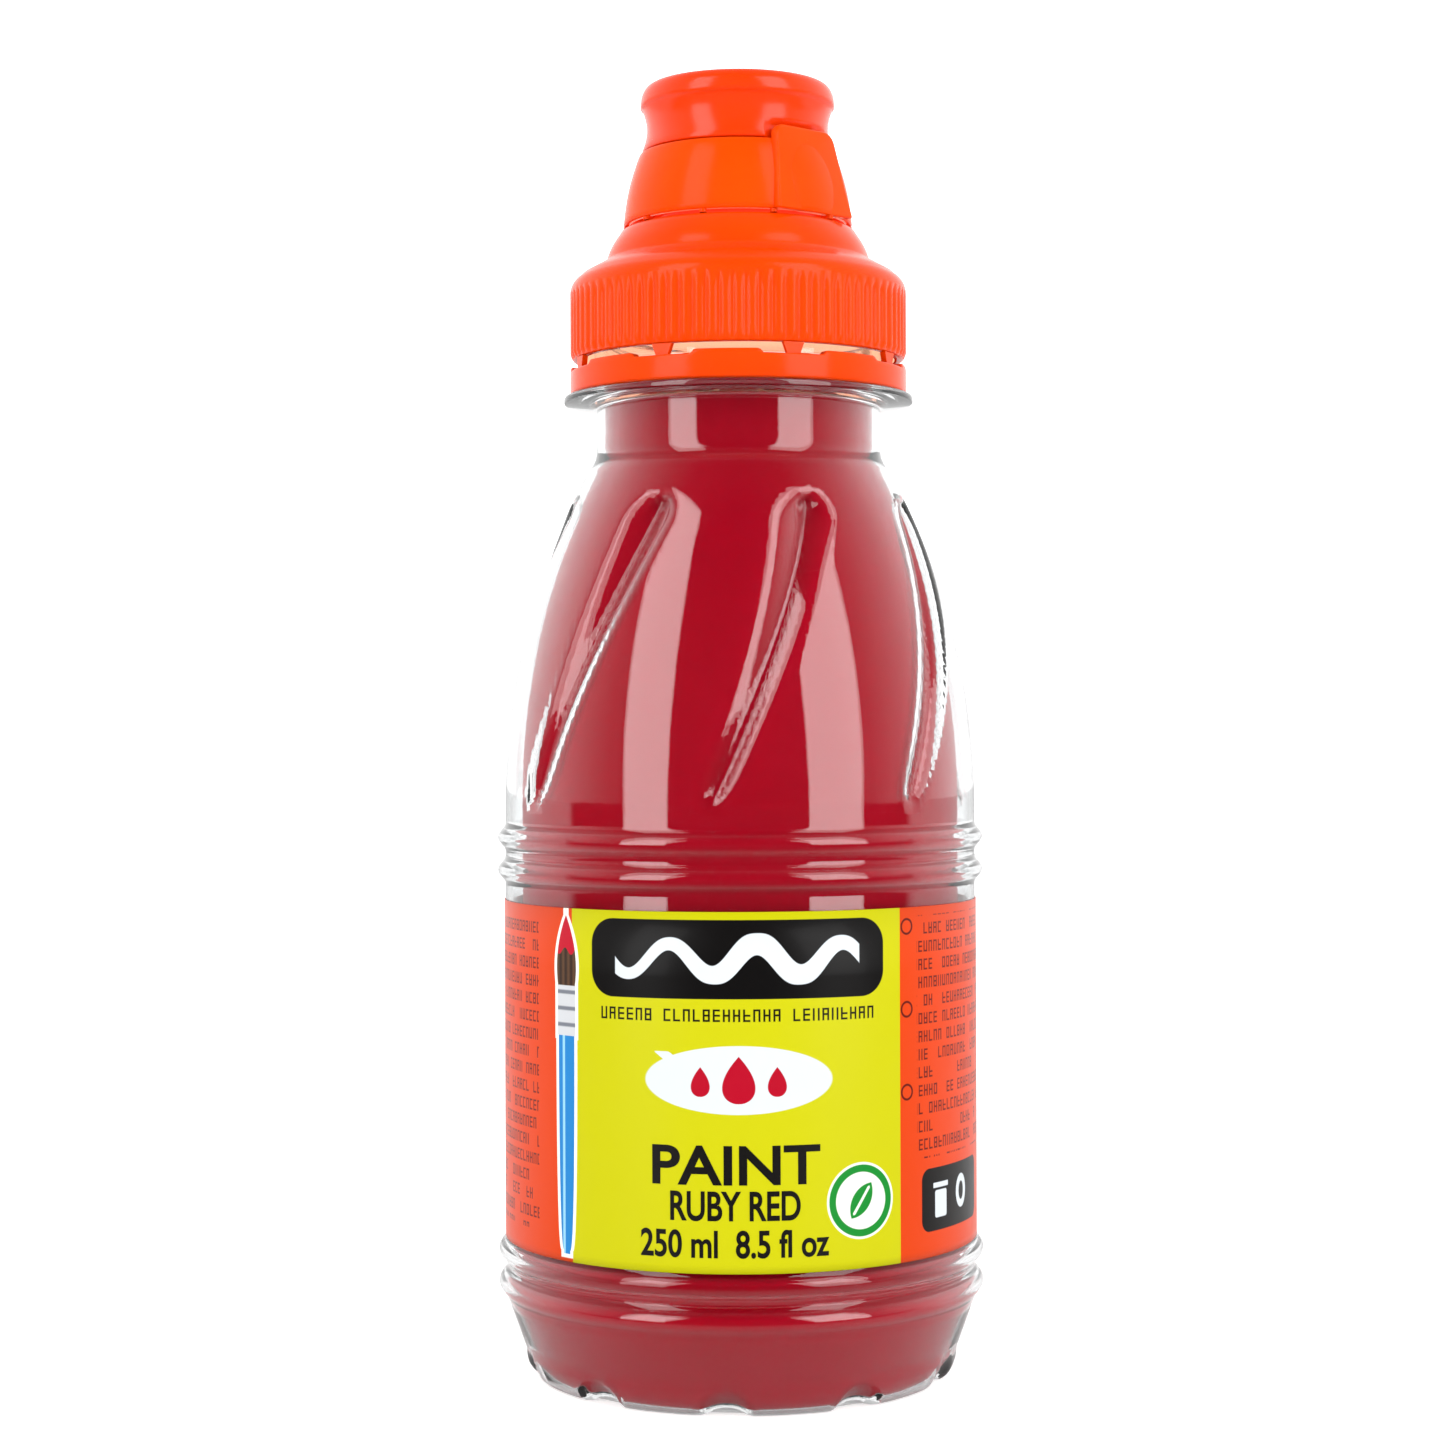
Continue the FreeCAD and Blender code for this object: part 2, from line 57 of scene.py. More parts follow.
# %% Measures shared by the pieces
MM = 0.001
bottle_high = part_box("bottle")[1]
label_low, label_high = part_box("label")
cap_low, cap_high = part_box("screw_cap")
band_low, band_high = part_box("tamper_band")
strip_low, strip_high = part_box("tear_strip")
spout_low, spout_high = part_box("spout")
label_thickness = 0.12 * MM
body_radius = label_high.x - label_thickness - 0.02 * MM
mouth_height = bottle_high.z
shoulder_low = mouth_height - 62.8 * MM
shoulder_high = shoulder_low + 42.5 * MM
flange_top = shoulder_high + 7.2 * MM
neck_radius = 17.5 * MM
finish_radius = 17.75 * MM
thread_lead = 4.23 * MM
thread_start = flange_top + 5.6 * MM
thread_reach = 1.05 * MM
cap_bore = cap_high.x - 1.65 * MM
crown = cap_low.z + 16.2 * MM
foot_radius = 24.3 * MM
foot_side = 26.5 * MM
foot_round = 3.4 * MM
print("body radius mm", round(body_radius / MM, 2), "mouth height mm", round(mouth_height / MM, 2))

# %% [markdown]
# ## Places on a round object
# Most shapes below are told by how far a point is from the upright axis and on which side of the
# bottle it lies, with 0 degrees at the front and 90 to the right.

# %% Round measures
def away(spot):
    """How far a point is from the upright axis."""
    return math.hypot(spot.x, spot.y)


def side_of(spot):
    """The side of the bottle a point is on, in degrees."""
    return math.degrees(math.atan2(spot.x, -spot.y))


def widen(vert, factor):
    """Moves a vertex out from the upright axis, or in where the factor is below 1."""
    vert.co.x *= factor
    vert.co.y *= factor


def clamp(value):
    return max(0.0, min(1.0, value))


print("round measures ready")

# %% [markdown]
# ## Sockets that do arithmetic
# A node material is a small program. Written as Python expressions it stays readable, so one
# class wraps an output socket and gives it the arithmetic signs. Each sign makes one Math node, also
# where the socket stands to the right of a plain number.
# The `node` method makes every other kind of node from its type, its inputs and its settings.

# %% The socket class
class Sock:
    """An output socket that Python's arithmetic works on."""

    def __init__(self, tree, socket=None):
        self.tree = tree
        self.socket = socket

    def node(self, kind, inputs=(), output=0, **settings):
        made = self.tree.nodes.new("ShaderNode" + kind)
        for name, value in settings.items():
            setattr(made, name, value)
        for key, value in dict(inputs).items():
            if isinstance(value, Sock):
                self.tree.links.new(value.socket, made.inputs[key])
            else:
                made.inputs[key].default_value = value
        return Sock(self.tree, made.outputs[output])

    def math(self, operation, *values):
        return self.node("Math", enumerate(values), operation=operation)

    def clamped(self):
        return self.most(0.0).least(1.0)

    def mix(self, below, above):
        """The colour above where this socket is 1, and the colour below where it is 0."""
        return self.node("Mix", {"Factor": self, 6: below, 7: above}, output=2, data_type="RGBA")

    def noise(self, scale, detail=3.0, roughness=0.5):
        """Noise read at this socket's vector, counted per metre."""
        values = {"Vector": self, "Scale": scale, "Detail": detail, "Roughness": roughness}
        return self.node("TexNoise", values)


def with_other(operation, reflected=False):
    """A method that makes one Math node from this socket and another value."""
    def method(self, other):
        pair = (other, self) if reflected else (self, other)
        return self.math(operation, *pair)

    return method


def alone(operation):
    """A method that makes one Math node from this socket alone."""
    return lambda self: self.math(operation, self)


for sign, operation in (("add", "ADD"), ("sub", "SUBTRACT"), ("mul", "MULTIPLY"), ("truediv", "DIVIDE")):
    setattr(Sock, f"__{sign}__", with_other(operation))
    setattr(Sock, f"__r{sign}__", with_other(operation, reflected=True))
Sock.__gt__ = with_other("GREATER_THAN")
Sock.__lt__ = with_other("LESS_THAN")
Sock.least = with_other("MINIMUM")
Sock.most = with_other("MAXIMUM")
Sock.abs = alone("ABSOLUTE")
Sock.sin = alone("SINE")
Sock.root = alone("SQRT")
Sock.fraction = alone("FRACT")
Sock.floor = alone("FLOOR")


def rgb(red, green, blue):
    """A colour from screen values of 0 to 255."""
    def linear(value):
        share = value / 255.0
        return share / 12.92 if share <= 0.04045 else ((share + 0.055) / 1.055) ** 2.4

    return (linear(red), linear(green), linear(blue), 1.0)


def grey(value):
    """A colour without hue, from 0 to 1."""
    return (value, value, value, 1.0)


print("one class carries all the shader maths")

# %% [markdown]
# ## One way to start a material
# Every finish here is a Principled shader. The constants go straight on the shader's own
# sockets and only what varies over the surface is linked. Object coordinates are in metres,
# because each piece sits at the origin.

# %% Material starter
def finish_of(name, **constants):
    """A new material, its place socket, its shader and a function that links into the shader."""
    material = bpy.data.materials.new(name)
    material.use_nodes = True
    tree = material.node_tree
    shader = tree.nodes["Principled BSDF"]
    for key, value in constants.items():
        shader.inputs[key.replace("_", " ")].default_value = value
    place = Sock(tree).node("TexCoord", output=3)

    def link(**sockets):
        for key, socket in sockets.items():
            tree.links.new(socket.socket, shader.inputs[key.replace("_", " ")])

    return material, place, link


def bump(place, height, strength, distance):
    """A normal from a height socket, with the distance in metres."""
    values = {"Height": height, "Strength": strength, "Distance": distance}
    return place.node("Bump", values)


def axes(place):
    """The three parts of a place: X, Y and Z."""
    split = place.tree.nodes.new("ShaderNodeSeparateXYZ")
    place.tree.links.new(place.socket, split.inputs[0])
    return [Sock(place.tree, output) for output in split.outputs]


# %% [markdown]
# ## Clear PET
# Blown PET is a clear, hard plastic with a high index, so it mirrors more at its edges than
# glass does. It isn't optically flat: the wall thickness drifts, which bends reflections
# slightly, and a faint parting line runs up each side where the two mould halves met. Both are
# bump, at a few hundredths of a millimetre.

# %% Clear PET material
def clear_pet():
    material, place, link = finish_of(
        "clear_pet", Base_Color=(0.97, 0.985, 0.99, 1.0), Roughness=0.02, IOR=1.57, Transmission_Weight=1.0
    )
    y = axes(place)[1]
    drift = place.noise(60.0, 2.0)
    grain = place.noise(900.0, 2.0)
    seam = 1.0 - (y.abs() / (0.12 * MM)).least(1.0)
    height = drift * 0.5 + grain * 0.02 + seam * 0.06
    link(Normal=bump(place, height, 0.25, 0.25 * MM), Roughness=0.012 + 0.03 * grain)
    return material


# %% [markdown]
# ## Crimson poster paint
# The paint is thick and opaque, and a little chalky where it has dried on the inside of the wall.
# Nearly all the gloss on it is the wall's own, so its shine is low. Slow noise moves it between a
# deep crimson and a slightly greyer rose, and the same noise makes the chalky places rougher.

# %% Paint material
def crimson_paint():
    material, place, link = finish_of("crimson_paint", IOR=1.45, Specular_IOR_Level=0.06)
    cloud = place.noise(55.0, 4.0, 0.6)
    streak = place.node("Mapping", {"Vector": place, "Scale": (1.0, 1.0, 0.12)}).noise(260.0, 3.0)
    dry = ((cloud - 0.42) * 3.0).clamped()
    deep = rgb(202, 0, 33)
    dusty = rgb(208, 10, 46)
    colour = (dry * 0.5 + streak * 0.18).mix(deep, dusty)
    height = cloud * 0.6 + streak * 0.2
    link(
        Base_Color=colour,
        Roughness=0.42 + dry * 0.2,
        Normal=bump(place, height, 0.2, 0.12 * MM),
    )
    return material


# %% [markdown]
# ## Orange polypropylene
# The cap pieces are injection-moulded polypropylene: an even, strong orange that glows a little
# because light enters it, with a soft gloss. Close up, the mould's polish leaves a faint grain and
# handling leaves hairline scuffs, both only visible in the reflections.

# %% Cap material
def orange_cap(name, lower, upper, gloss):
    material, place, link = finish_of(
        name,
        IOR=1.49,
        Specular_IOR_Level=gloss,
        Subsurface_Weight=0.12,
        Subsurface_Radius=(1.0, 0.25, 0.05),
        Subsurface_Scale=1.0 * MM,
        Coat_Weight=0.03,
        Coat_Roughness=0.08,
    )
    cloud = place.noise(90.0, 3.0)
    grain = place.noise(2600.0, 2.0)
    scuff = place.node("Mapping", {"Vector": place, "Rotation": (0.4, 0.2, 0.1), "Scale": (1.0, 1.0, 9.0)})
    scuff = ((scuff.noise(700.0, 4.0, 0.7) - 0.56) * 6.0).clamped()
    colour = cloud.mix(lower, upper)
    link(
        Base_Color=colour,
        Roughness=0.15 + cloud * 0.06 + scuff * 0.1,
        Normal=bump(place, grain * 0.3 + cloud * 1.0 + scuff * 0.15, 0.18, 0.06 * MM),
    )
    return material


# %% [markdown]
# ## The cap's inside
# The skirt is thin enough for daylight to come through it. Its inner side, and the chimney and crown
# top under the bell, get a painted glow: emission makes them pale orange where they show through the
# slots over the tamper band and the gap under the bell, where shade would leave them dark.

# %% Material for the cap's inside
def painted_glow_inside():
    """The inner side of the skirt and the faces under the bell: a painted glow, emission that stands for
    daylight through the thin skirt.
    """
    material, place, link = finish_of(
        "painted_glow_inside",
        IOR=1.49,
        Specular_IOR_Level=0.2,
        Emission_Color=rgb(255, 200, 160),
        Emission_Strength=1.0,
    )
    cloud = place.noise(90.0, 3.0)
    link(Base_Color=cloud.mix(rgb(246, 70, 0), rgb(250, 84, 1)), Roughness=0.3 + cloud * 0.1)
    return material


# %% [markdown]
# ## Foam and ink
# The seal ring is a soft white foam, full of fine cells. The words are a layer of matt black ink.

# %% Foam and ink materials
def white_foam():
    material, place, link = finish_of("white_foam", IOR=1.4)
    cells = place.node("TexVoronoi", {"Vector": place, "Scale": 2600.0})
    link(
        Base_Color=cells.mix(rgb(236, 234, 226), rgb(214, 212, 204)),
        Roughness=0.75 + cells * 0.15,
        Normal=bump(place, cells, 0.5, 0.1 * MM),
    )
    return material


def black_ink():
    material, place, link = finish_of("black_ink", Specular_IOR_Level=0.25)
    grain = place.noise(3000.0, 2.0)
    link(Base_Color=grain.mix(rgb(14, 12, 12), rgb(26, 22, 20)), Roughness=0.35 + grain * 0.15)
    return material


# %% [markdown]
# ## The label's print
# The label is a varnished film printed in flat inks. Its picture is drawn by arithmetic: `across`
# is the distance round the bottle from the middle of the front and `up` is the height, both in
# millimetres. Each shape is a distance from its outline, and `ink` turns that distance into
# a crisp mask. The shapes are laid over each other in the order that a printer lays inks.

# %% Shapes for the print
def ink(distance):
    """1 inside an outline and 0 outside, over a twelfth of a millimetre."""
    return (0.5 - distance * 12.0).clamped()


def panel(across, up, middle, half, corner):
    """The distance from a rectangle with round corners."""
    side = ((across - middle[0]).abs() - (half[0] - corner)).most(0.0)
    tall = ((up - middle[1]).abs() - (half[1] - corner)).most(0.0)
    return (side * side + tall * tall).root() - corner


def oval(across, up, middle, half):
    """Roughly the distance from an ellipse."""
    side = (across - middle[0]) / half[0]
    tall = (up - middle[1]) / half[1]
    return ((side * side + tall * tall).root() - 1.0) * min(half)


def drop(across, up, middle, half):
    """The distance from a drop that is round below and pointed above."""
    share = ((up - middle[1]) / (2.0 * half[1]) + 0.5).clamped()
    width = share.root() * (1.0 - share) * (2.6 * half[0])
    tall = (up - middle[1]).abs() - half[1]
    return ((across - middle[0]).abs() - width).most(tall)


def small_print(across, up, middle, half, line, letter=0.95):
    """Rows of marks built from stems and bars, with gaps as between words. They spell nothing."""
    row = (up / line).floor()
    column = (across / letter).floor()
    spot = across.node("CombineXYZ", {0: column, 1: row})
    chance = axes(across.node("TexWhiteNoise", {"Vector": spot}, output=1, noise_dimensions="2D"))
    word = across.node("CombineXYZ", {0: column * 0.37, 1: row * 5.3})
    word = across.node("TexNoise", {"Vector": word, "Scale": 1.0, "Detail": 0.0}) > 0.4
    side = (across / letter).fraction() * letter
    tall = (up / line).fraction() * line
    stroke = 0.1 * letter
    right = (side - 0.72 * letter).abs() - stroke + (chance[0] < 0.35) * letter
    left = (side - 0.2 * letter).abs() - stroke
    high = (tall - 0.76 * line).abs() - stroke + (chance[1] < 0.4) * line
    middle_bar = (tall - 0.5 * line).abs() - stroke + (chance[2] < 0.5) * line
    low = (tall - 0.24 * line).abs() - stroke + (chance[0] > 0.6) * line
    marks = left.least(right).least(high).least(middle_bar).least(low)
    cell = ((side - 0.46 * letter).abs() - 0.36 * letter).most((tall - 0.5 * line).abs() - 0.31 * line)
    return ink(marks.most(cell)) * word * ink(panel(across, up, middle, half, 0.1))


# %% [markdown]
# ## The order of the inks
# Orange covers the whole film and a yellow field lies over its front. The rows of small print, the
# dark box of symbols, the banner, the oval with its drops, the leaf badge, the brush and the bars
# follow, each over what is already there.

# %% The label material
white = rgb(216, 224, 230)
dark = rgb(18, 15, 14)
maroon = rgb(96, 20, 8)


def side_rows(across, up, colour):
    """The rows of small print round the sides, with three rings beside the right-hand ones."""
    rows = small_print(across, up, (43.0, 43.0), (20.4, 14.2), 2.1)
    rows = rows.most(small_print(across, up, (-46.0, 38.5), (18.0, 18.5), 2.1))
    rows = rows.most(small_print(across, up, (-75.0, 46.0), (7.0, 9.0), 2.1))
    colour = rows.mix(colour, maroon)
    for height in (56.0, 46.4, 36.8):
        ring = oval(across, up, (20.9, height), (0.85, 0.85)).abs() - 0.13
        colour = ink(ring).mix(colour, maroon)
    return colour


def symbol_box(across, up, colour):
    """A dark box with a plain tub and a plain ring in it."""
    colour = ink(panel(across, up, (31.0, 23.8), (7.6, 3.7), 1.4)).mix(colour, dark)
    tub = ink(panel(across, up, (27.2, 23.2), (1.25, 1.6), 0.3))
    lid = ink(panel(across, up, (27.2, 25.4), (1.6, 0.3), 0.1))
    colour = tub.most(lid).mix(colour, white)
    colour = ink(oval(across, up, (32.4, 24.0), (1.5, 2.0))).mix(colour, white)
    return ink(oval(across, up, (32.4, 24.0), (0.7, 1.1))).mix(colour, dark)


def drops_in_oval(across, up, colour):
    """A white oval with a short tail, and three red drops in it."""
    tail = panel(across + (up - 42.0) * 1.3, up, (-9.0, 41.3), (0.9, 1.0), 0.2)
    colour = ink(oval(across, up, (-0.4, 39.1), (10.9, 3.9)).least(tail)).mix(colour, white)
    for middle, half in (((-0.4, 39.1), (1.9, 2.7)), ((-4.8, 38.9), (1.1, 1.7)), ((4.0, 38.9), (1.1, 1.7))):
        colour = ink(drop(across, up, middle, half)).mix(colour, rgb(178, 0, 34))
    return colour


def printed_label():
    material, place, link = finish_of(
        "printed_label", IOR=1.5, Specular_IOR_Level=0.16, Coat_Weight=0.04, Coat_Roughness=0.1
    )
    x, y, z = axes(place)
    across = place.math("ARCTAN2", x, 0.0 - y) * (label_high.x / MM)
    up = z / MM
    field = ink(panel(across, up, (-0.9, 37.5), (20.7, 30.0), 0.2))
    colour = field.mix(rgb(218, 64, 2), rgb(198, 196, 0))
    colour = symbol_box(across, up, side_rows(across, up, colour))
    banner = ink(panel(across, up, (-0.6, 52.8), (17.9, 4.5), 3.0))
    colour = banner.mix(colour, rgb(16, 14, 14))
    colour = brush_stroke(across, up).mix(colour, white)
    colour = small_print(across, up + 0.7, (-0.6, 47.15), (16.6, 1.1), 2.3, 1.15).mix(colour, dark)
    colour = drops_in_oval(across, up, colour)
    colour = leaf_badge(across, up, (14.2, 24.9), 4.4, colour)
    colour = paint_brush(across, up, -22.6, colour)
    colour = bar_panel(across, up, (-75.0, 27.0), colour)
    film = place.noise(420.0, 3.0)
    fibre = place.noise(70.0, 2.0)
    link(
        Base_Color=colour,
        Roughness=0.26 + film * 0.12,
        Normal=bump(place, fibre * 1.0 + film * 0.12, 0.2, 0.12 * MM),
    )
    return material


# %% [markdown]
# ## The label's pictures
# Each picture takes the colour that is already printed and returns it with its own inks on top.

# %% Pictures on the label
def brush_stroke(across, up):
    """A mask of one long wavy stroke of paint, evenly thick along its slopes."""
    phase = across * 0.62 + 0.5
    wave = phase.sin() * 1.75
    slope = (phase + math.pi / 2).sin() * (1.75 * 0.62)
    away = ((up - 52.8) - wave).abs() / (slope * slope + 1.0).root()
    fat = 0.95 + (across * 0.21 + 1.0).sin() * 0.3
    return ink((away - fat).most((across + 0.6).abs() - 14.6))


def leaf_badge(across, up, middle, radius, colour):
    """A white disc with a green rim and a green leaf."""
    disc = oval(across, up, middle, (radius, radius))
    colour = ink(disc).mix(colour, rgb(238, 244, 232))
    green = rgb(24, 138, 48)
    colour = ink((disc + 0.7).abs() - 0.42).mix(colour, green)
    left = oval(across, up, (middle[0] - 1.5, middle[1] + 1.0), (3.0, 3.0))
    right = oval(across, up, (middle[0] + 1.5, middle[1] - 1.0), (3.0, 3.0))
    leaf = left.most(right)
    rib = ((across - middle[0]) * 0.83 + (up - middle[1]) * -0.55).abs() - 0.16
    colour = ink(leaf).mix(colour, green)
    return (ink(rib) * ink(leaf + 0.35)).mix(colour, rgb(238, 244, 232))


def paint_brush(across, up, middle, colour):
    """A paint brush that stands on its handle's end, bristles up, outlined in white."""
    side = (across - middle).abs()
    share = ((up - 18.4) / 25.0).clamped()
    handle = (side - (0.55 + 1.55 * share.root() - 0.75 * share)).most(18.0 - up).most(up - 43.4)
    ferrule = (side - 1.5).most(43.4 - up).most(up - 49.2)
    tuft = ((up - 49.2) / 8.2).clamped()
    bristle = (side - (1.45 + 1.5 * tuft - 2.95 * tuft * tuft)).most(49.2 - up)
    colour = ink(handle.least(ferrule).least(bristle) - 0.45).mix(colour, rgb(252, 250, 238))
    shine = ink((across - middle + 0.45).abs() - 0.2)
    colour = ink(handle).mix(colour, shine.mix(rgb(36, 130, 200), rgb(150, 208, 240)))
    bands = ink(((up / 1.9).fraction() - 0.5).abs() - 0.12)
    colour = ink(ferrule).mix(colour, bands.mix(rgb(206, 208, 212), rgb(120, 124, 134)))
    hairs = ((across * 7.0).sin() * 0.5 + 0.5).mix(rgb(54, 38, 30), rgb(92, 64, 44))
    wet = (up - 53.2 + (across * 3.1).sin() * 0.4) > 0.0
    return ink(bristle).mix(colour, wet.mix(hairs, rgb(190, 10, 40)))


def bar_panel(across, up, middle, colour):
    """A white box of upright bars, as on any packet."""
    colour = ink(panel(across, up, middle, (7.2, 6.4), 0.4)).mix(colour, rgb(250, 250, 246))
    slot = (across / 0.5).floor()
    spot = across.node("CombineXYZ", {0: slot})
    thick = across.node("TexWhiteNoise", {"Vector": spot}, noise_dimensions="2D") * 0.4
    bars = ink(((across / 0.5).fraction() - 0.5).abs() * 0.5 - thick * 0.5)
    return (bars * ink(panel(across, up, middle, (6.2, 5.2), 0.1))).mix(colour, rgb(26, 22, 20))


# %% Make the materials
finishes = {
    "clear_pet": clear_pet(),
    "crimson_paint": crimson_paint(),
    "printed_label": printed_label(),
    # The pieces share one polypropylene. The spout's deeper oranges are painted shade, and the strip's
    # lighter, yellower oranges are a painted glow of light through its thin wall and tab.
    "orange_cap": orange_cap("orange_cap", rgb(232, 60, 0), rgb(238, 70, 1), 0.16),
    "orange_spout_shaded": orange_cap("orange_spout_shaded", rgb(230, 52, 0), rgb(236, 62, 1), 0.36),
    "orange_strip_glowing": orange_cap("orange_strip_glowing", rgb(236, 66, 0), rgb(242, 76, 1), 0.1),
    "painted_glow_inside": painted_glow_inside(),
    "white_foam": white_foam(),
    "black_ink": black_ink(),
}
print("materials:", ", ".join(finishes))

# %% [markdown]
# ## Spinning an outline
# `spun` takes half an outline as (radius, height) pairs, spins it once round the upright axis and
# merges the seam and the poles. `place_piece` turns the mesh into an object, shades it smooth,
# gives it its finish, hangs it on an empty for the body it rides on and hides the plain nodes it
# stands for. Rounded corners come from `corner`, a few points on an arc.

# %% Spin and place
def spun(outline, steps, closed=True):
    """One closed solid from half an outline turned about the upright axis."""
    mesh = bmesh.new()
    rim = [mesh.verts.new((radius, 0.0, height)) for radius, height in outline]
    pairs = list(zip(rim, rim[1:]))
    if closed:
        pairs.append((rim[-1], rim[0]))
    edges = [mesh.edges.new(pair) for pair in pairs]
    bmesh.ops.spin(
        mesh, geom=rim + edges, cent=(0, 0, 0), axis=(0, 0, 1), angle=math.tau, steps=steps, use_merge=True
    )
    bmesh.ops.remove_doubles(mesh, verts=mesh.verts, dist=0.002 * MM)
    bmesh.ops.recalc_face_normals(mesh, faces=mesh.faces)
    return mesh


def shown(name, data):
    """A new object in the scene."""
    made = bpy.data.objects.new(name, data)
    bpy.context.scene.collection.objects.link(made)
    return made


def baked(mesh, name):
    """The finished mesh of a bmesh."""
    data = bpy.data.meshes.new(name)
    mesh.to_mesh(data)
    mesh.free()
    return data


def place_piece(mesh, name, finish, body, *nodes, slot=None):
    """An object made of the mesh, riding on its body in place of the named nodes."""
    data = baked(mesh, name)
    data.polygons.foreach_set("use_smooth", [True] * len(data.polygons))
    data.materials.append(finishes[finish])
    piece = shown(name, data)
    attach(piece, body)
    if nodes:
        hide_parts(*nodes)
    print(name, len(data.vertices), "vertices")
    return piece


def corner(middle, radius, start, end, steps=4):
    """Points on an arc about a middle, from one angle to another, in degrees from outwards."""
    turns = [math.radians(start + (end - start) * i / steps) for i in range(steps + 1)]
    return [(middle[0] + radius * math.cos(a), middle[1] + radius * math.sin(a)) for a in turns]


def run(start, end, steps, bow=0.0):
    """Points along a line from start up to, not including, end, bowed outwards in its middle."""
    points = []
    for i in range(steps):
        share = i / steps
        swell = bow * math.sin(math.pi * share)
        radius = start[0] + (end[0] - start[0]) * share + swell
        points.append((radius, start[1] + (end[1] - start[1]) * share))
    return points


# %% [markdown]
# ## The blown wall
# The outline climbs from the pushed-up middle of the base, over the standing ring, up the two
# lower rings, the label panel and the two upper rings, along the shoulder's long arc and into the
# neck with its support flange, bead and mouth. The inside follows it, one wall's thickness in, and
# the wall is thinner at the foot. The rings are a cosine wave, because a blown ring has no corner.

# %% Outline of the wall
ring_pitch = 4.0 * MM
lower_rings = 9.5 * MM
panel_height = 42.3 * MM
upper_rings = lower_rings + 2 * ring_pitch + panel_height
wall = 0.8 * MM
foot_wall = 0.45 * MM


def shoulder_radius(height, inset, neck):
    """The radius of the shoulder's arc, upright where it leaves the body."""
    wide = body_radius - inset
    drop_in = wide - neck
    rise = shoulder_high - shoulder_low
    sweep = (rise ** 2 + drop_in ** 2) / (2.0 * drop_in)
    return wide - sweep + math.sqrt(sweep ** 2 - (height - shoulder_low) ** 2)


def ring_points(low, inset, steps):
    """Two rings as a wave on the panel's radius. The lower pair starts a little inside it."""
    points = []
    for i in range(steps + 1):
        height = low + 2 * ring_pitch * i / steps
        stand = 0.4 * MM - 0.55 * MM * math.cos(math.tau * (height - low) / ring_pitch)
        low_limit = 0.0 if low > lower_rings or i > steps / 2 else -0.15 * MM
        points.append((body_radius - inset + max(stand, low_limit), height))
    return points


def foot_points(inset):
    """From the middle of the base, over the standing ring and up the foot's side."""
    foot = foot_radius - inset
    standing = foot_radius - 4.0 * MM - inset
    side = foot_side - inset
    push_up = 4.5 * MM
    points = []
    for i in range(10):
        share = i / 10
        points.append((standing * share, inset + push_up * (1.0 - share ** 2.2)))
    points += run((standing, inset), (foot, inset), 3)
    for i in range(8):
        turn = i / 8 * math.pi / 2
        reach = (side - foot) * math.sin(turn) ** 0.9
        points.append((foot + reach, inset + foot_round * (1.0 - math.cos(turn))))
    return points + run((side, foot_round + inset), (body_radius - inset - 0.15 * MM, lower_rings), 7)


def body_points(inset, neck, rows, foot_inset=None):
    """From the base's middle up to the neck, with so many rows on the shoulder.

    The inset changes from the foot's to the rest's over the lowest ring.
    """
    foot_inset = inset if foot_inset is None else foot_inset
    points = foot_points(foot_inset)
    lower = []
    for radius, height in ring_points(lower_rings, foot_inset, 24):
        closing = min(1.0, (height - lower_rings) / ring_pitch)
        lower.append((radius - (inset - foot_inset) * closing, height))
    points += lower
    upper = ring_points(upper_rings, inset, 24)
    points += run(lower[-1], upper[0], 8)[1:]
    points += upper
    points += run(upper[-1], (body_radius - inset, shoulder_low), 2)[1:]
    blend_low = shoulder_high - 2.0 * MM
    for i in range(rows):
        height = shoulder_low + (blend_low - shoulder_low) * i / rows
        points.append((shoulder_radius(height, inset, neck), height))
    for i in range(7):
        share = i / 6
        height = blend_low + 4.4 * MM * share
        arc = shoulder_radius(min(height, shoulder_high), inset, neck)
        swell = 0.05 * MM * math.sin(math.pi * share)
        points.append((neck + (arc - neck) * (1.0 - share) ** 1.5 + swell, height))
    return points


def finish_points():
    """The flange, the bead and the wall of the threaded mouth, from the neck up."""
    flange = flange_top
    flange_edge = 21.25 * MM
    root = finish_radius
    points = [(neck_radius, flange - 1.9 * MM)]
    points += corner((neck_radius + 0.6 * MM, flange - 1.75 * MM), 0.6 * MM, 180, 105, 4)
    points += corner((flange_edge, flange - 0.65 * MM), 0.25 * MM, -75, 0, 3)
    points += corner((flange_edge, flange - 0.25 * MM), 0.25 * MM, 0, 90, 3)
    points += [(root + 0.3 * MM, flange), (root, flange + 0.3 * MM)]
    bead = flange + 2.2 * MM
    points += [(root, bead - 0.1 * MM), (root + 1.2 * MM, bead), (root + 1.35 * MM, bead + 0.15 * MM)]
    points += [(root + 0.15 * MM, bead + 0.95 * MM), (root, bead + 1.2 * MM)]
    points += run((root, bead + 1.5 * MM), (root, mouth_height - 0.5 * MM), 34)
    points += corner((root - 0.4 * MM, mouth_height - 0.4 * MM), 0.4 * MM, 0, 90, 3)
    return points


# %% [markdown]
# ## Screw threads
# The neck carries one and a half turns of a blunt ridge, and the cap carries its mate inside. The
# wall between them already has many close rows of vertices, so the ridge is raised from it:
# a vertex moves out by how near it lies to the helix that passes its side of the bottle.

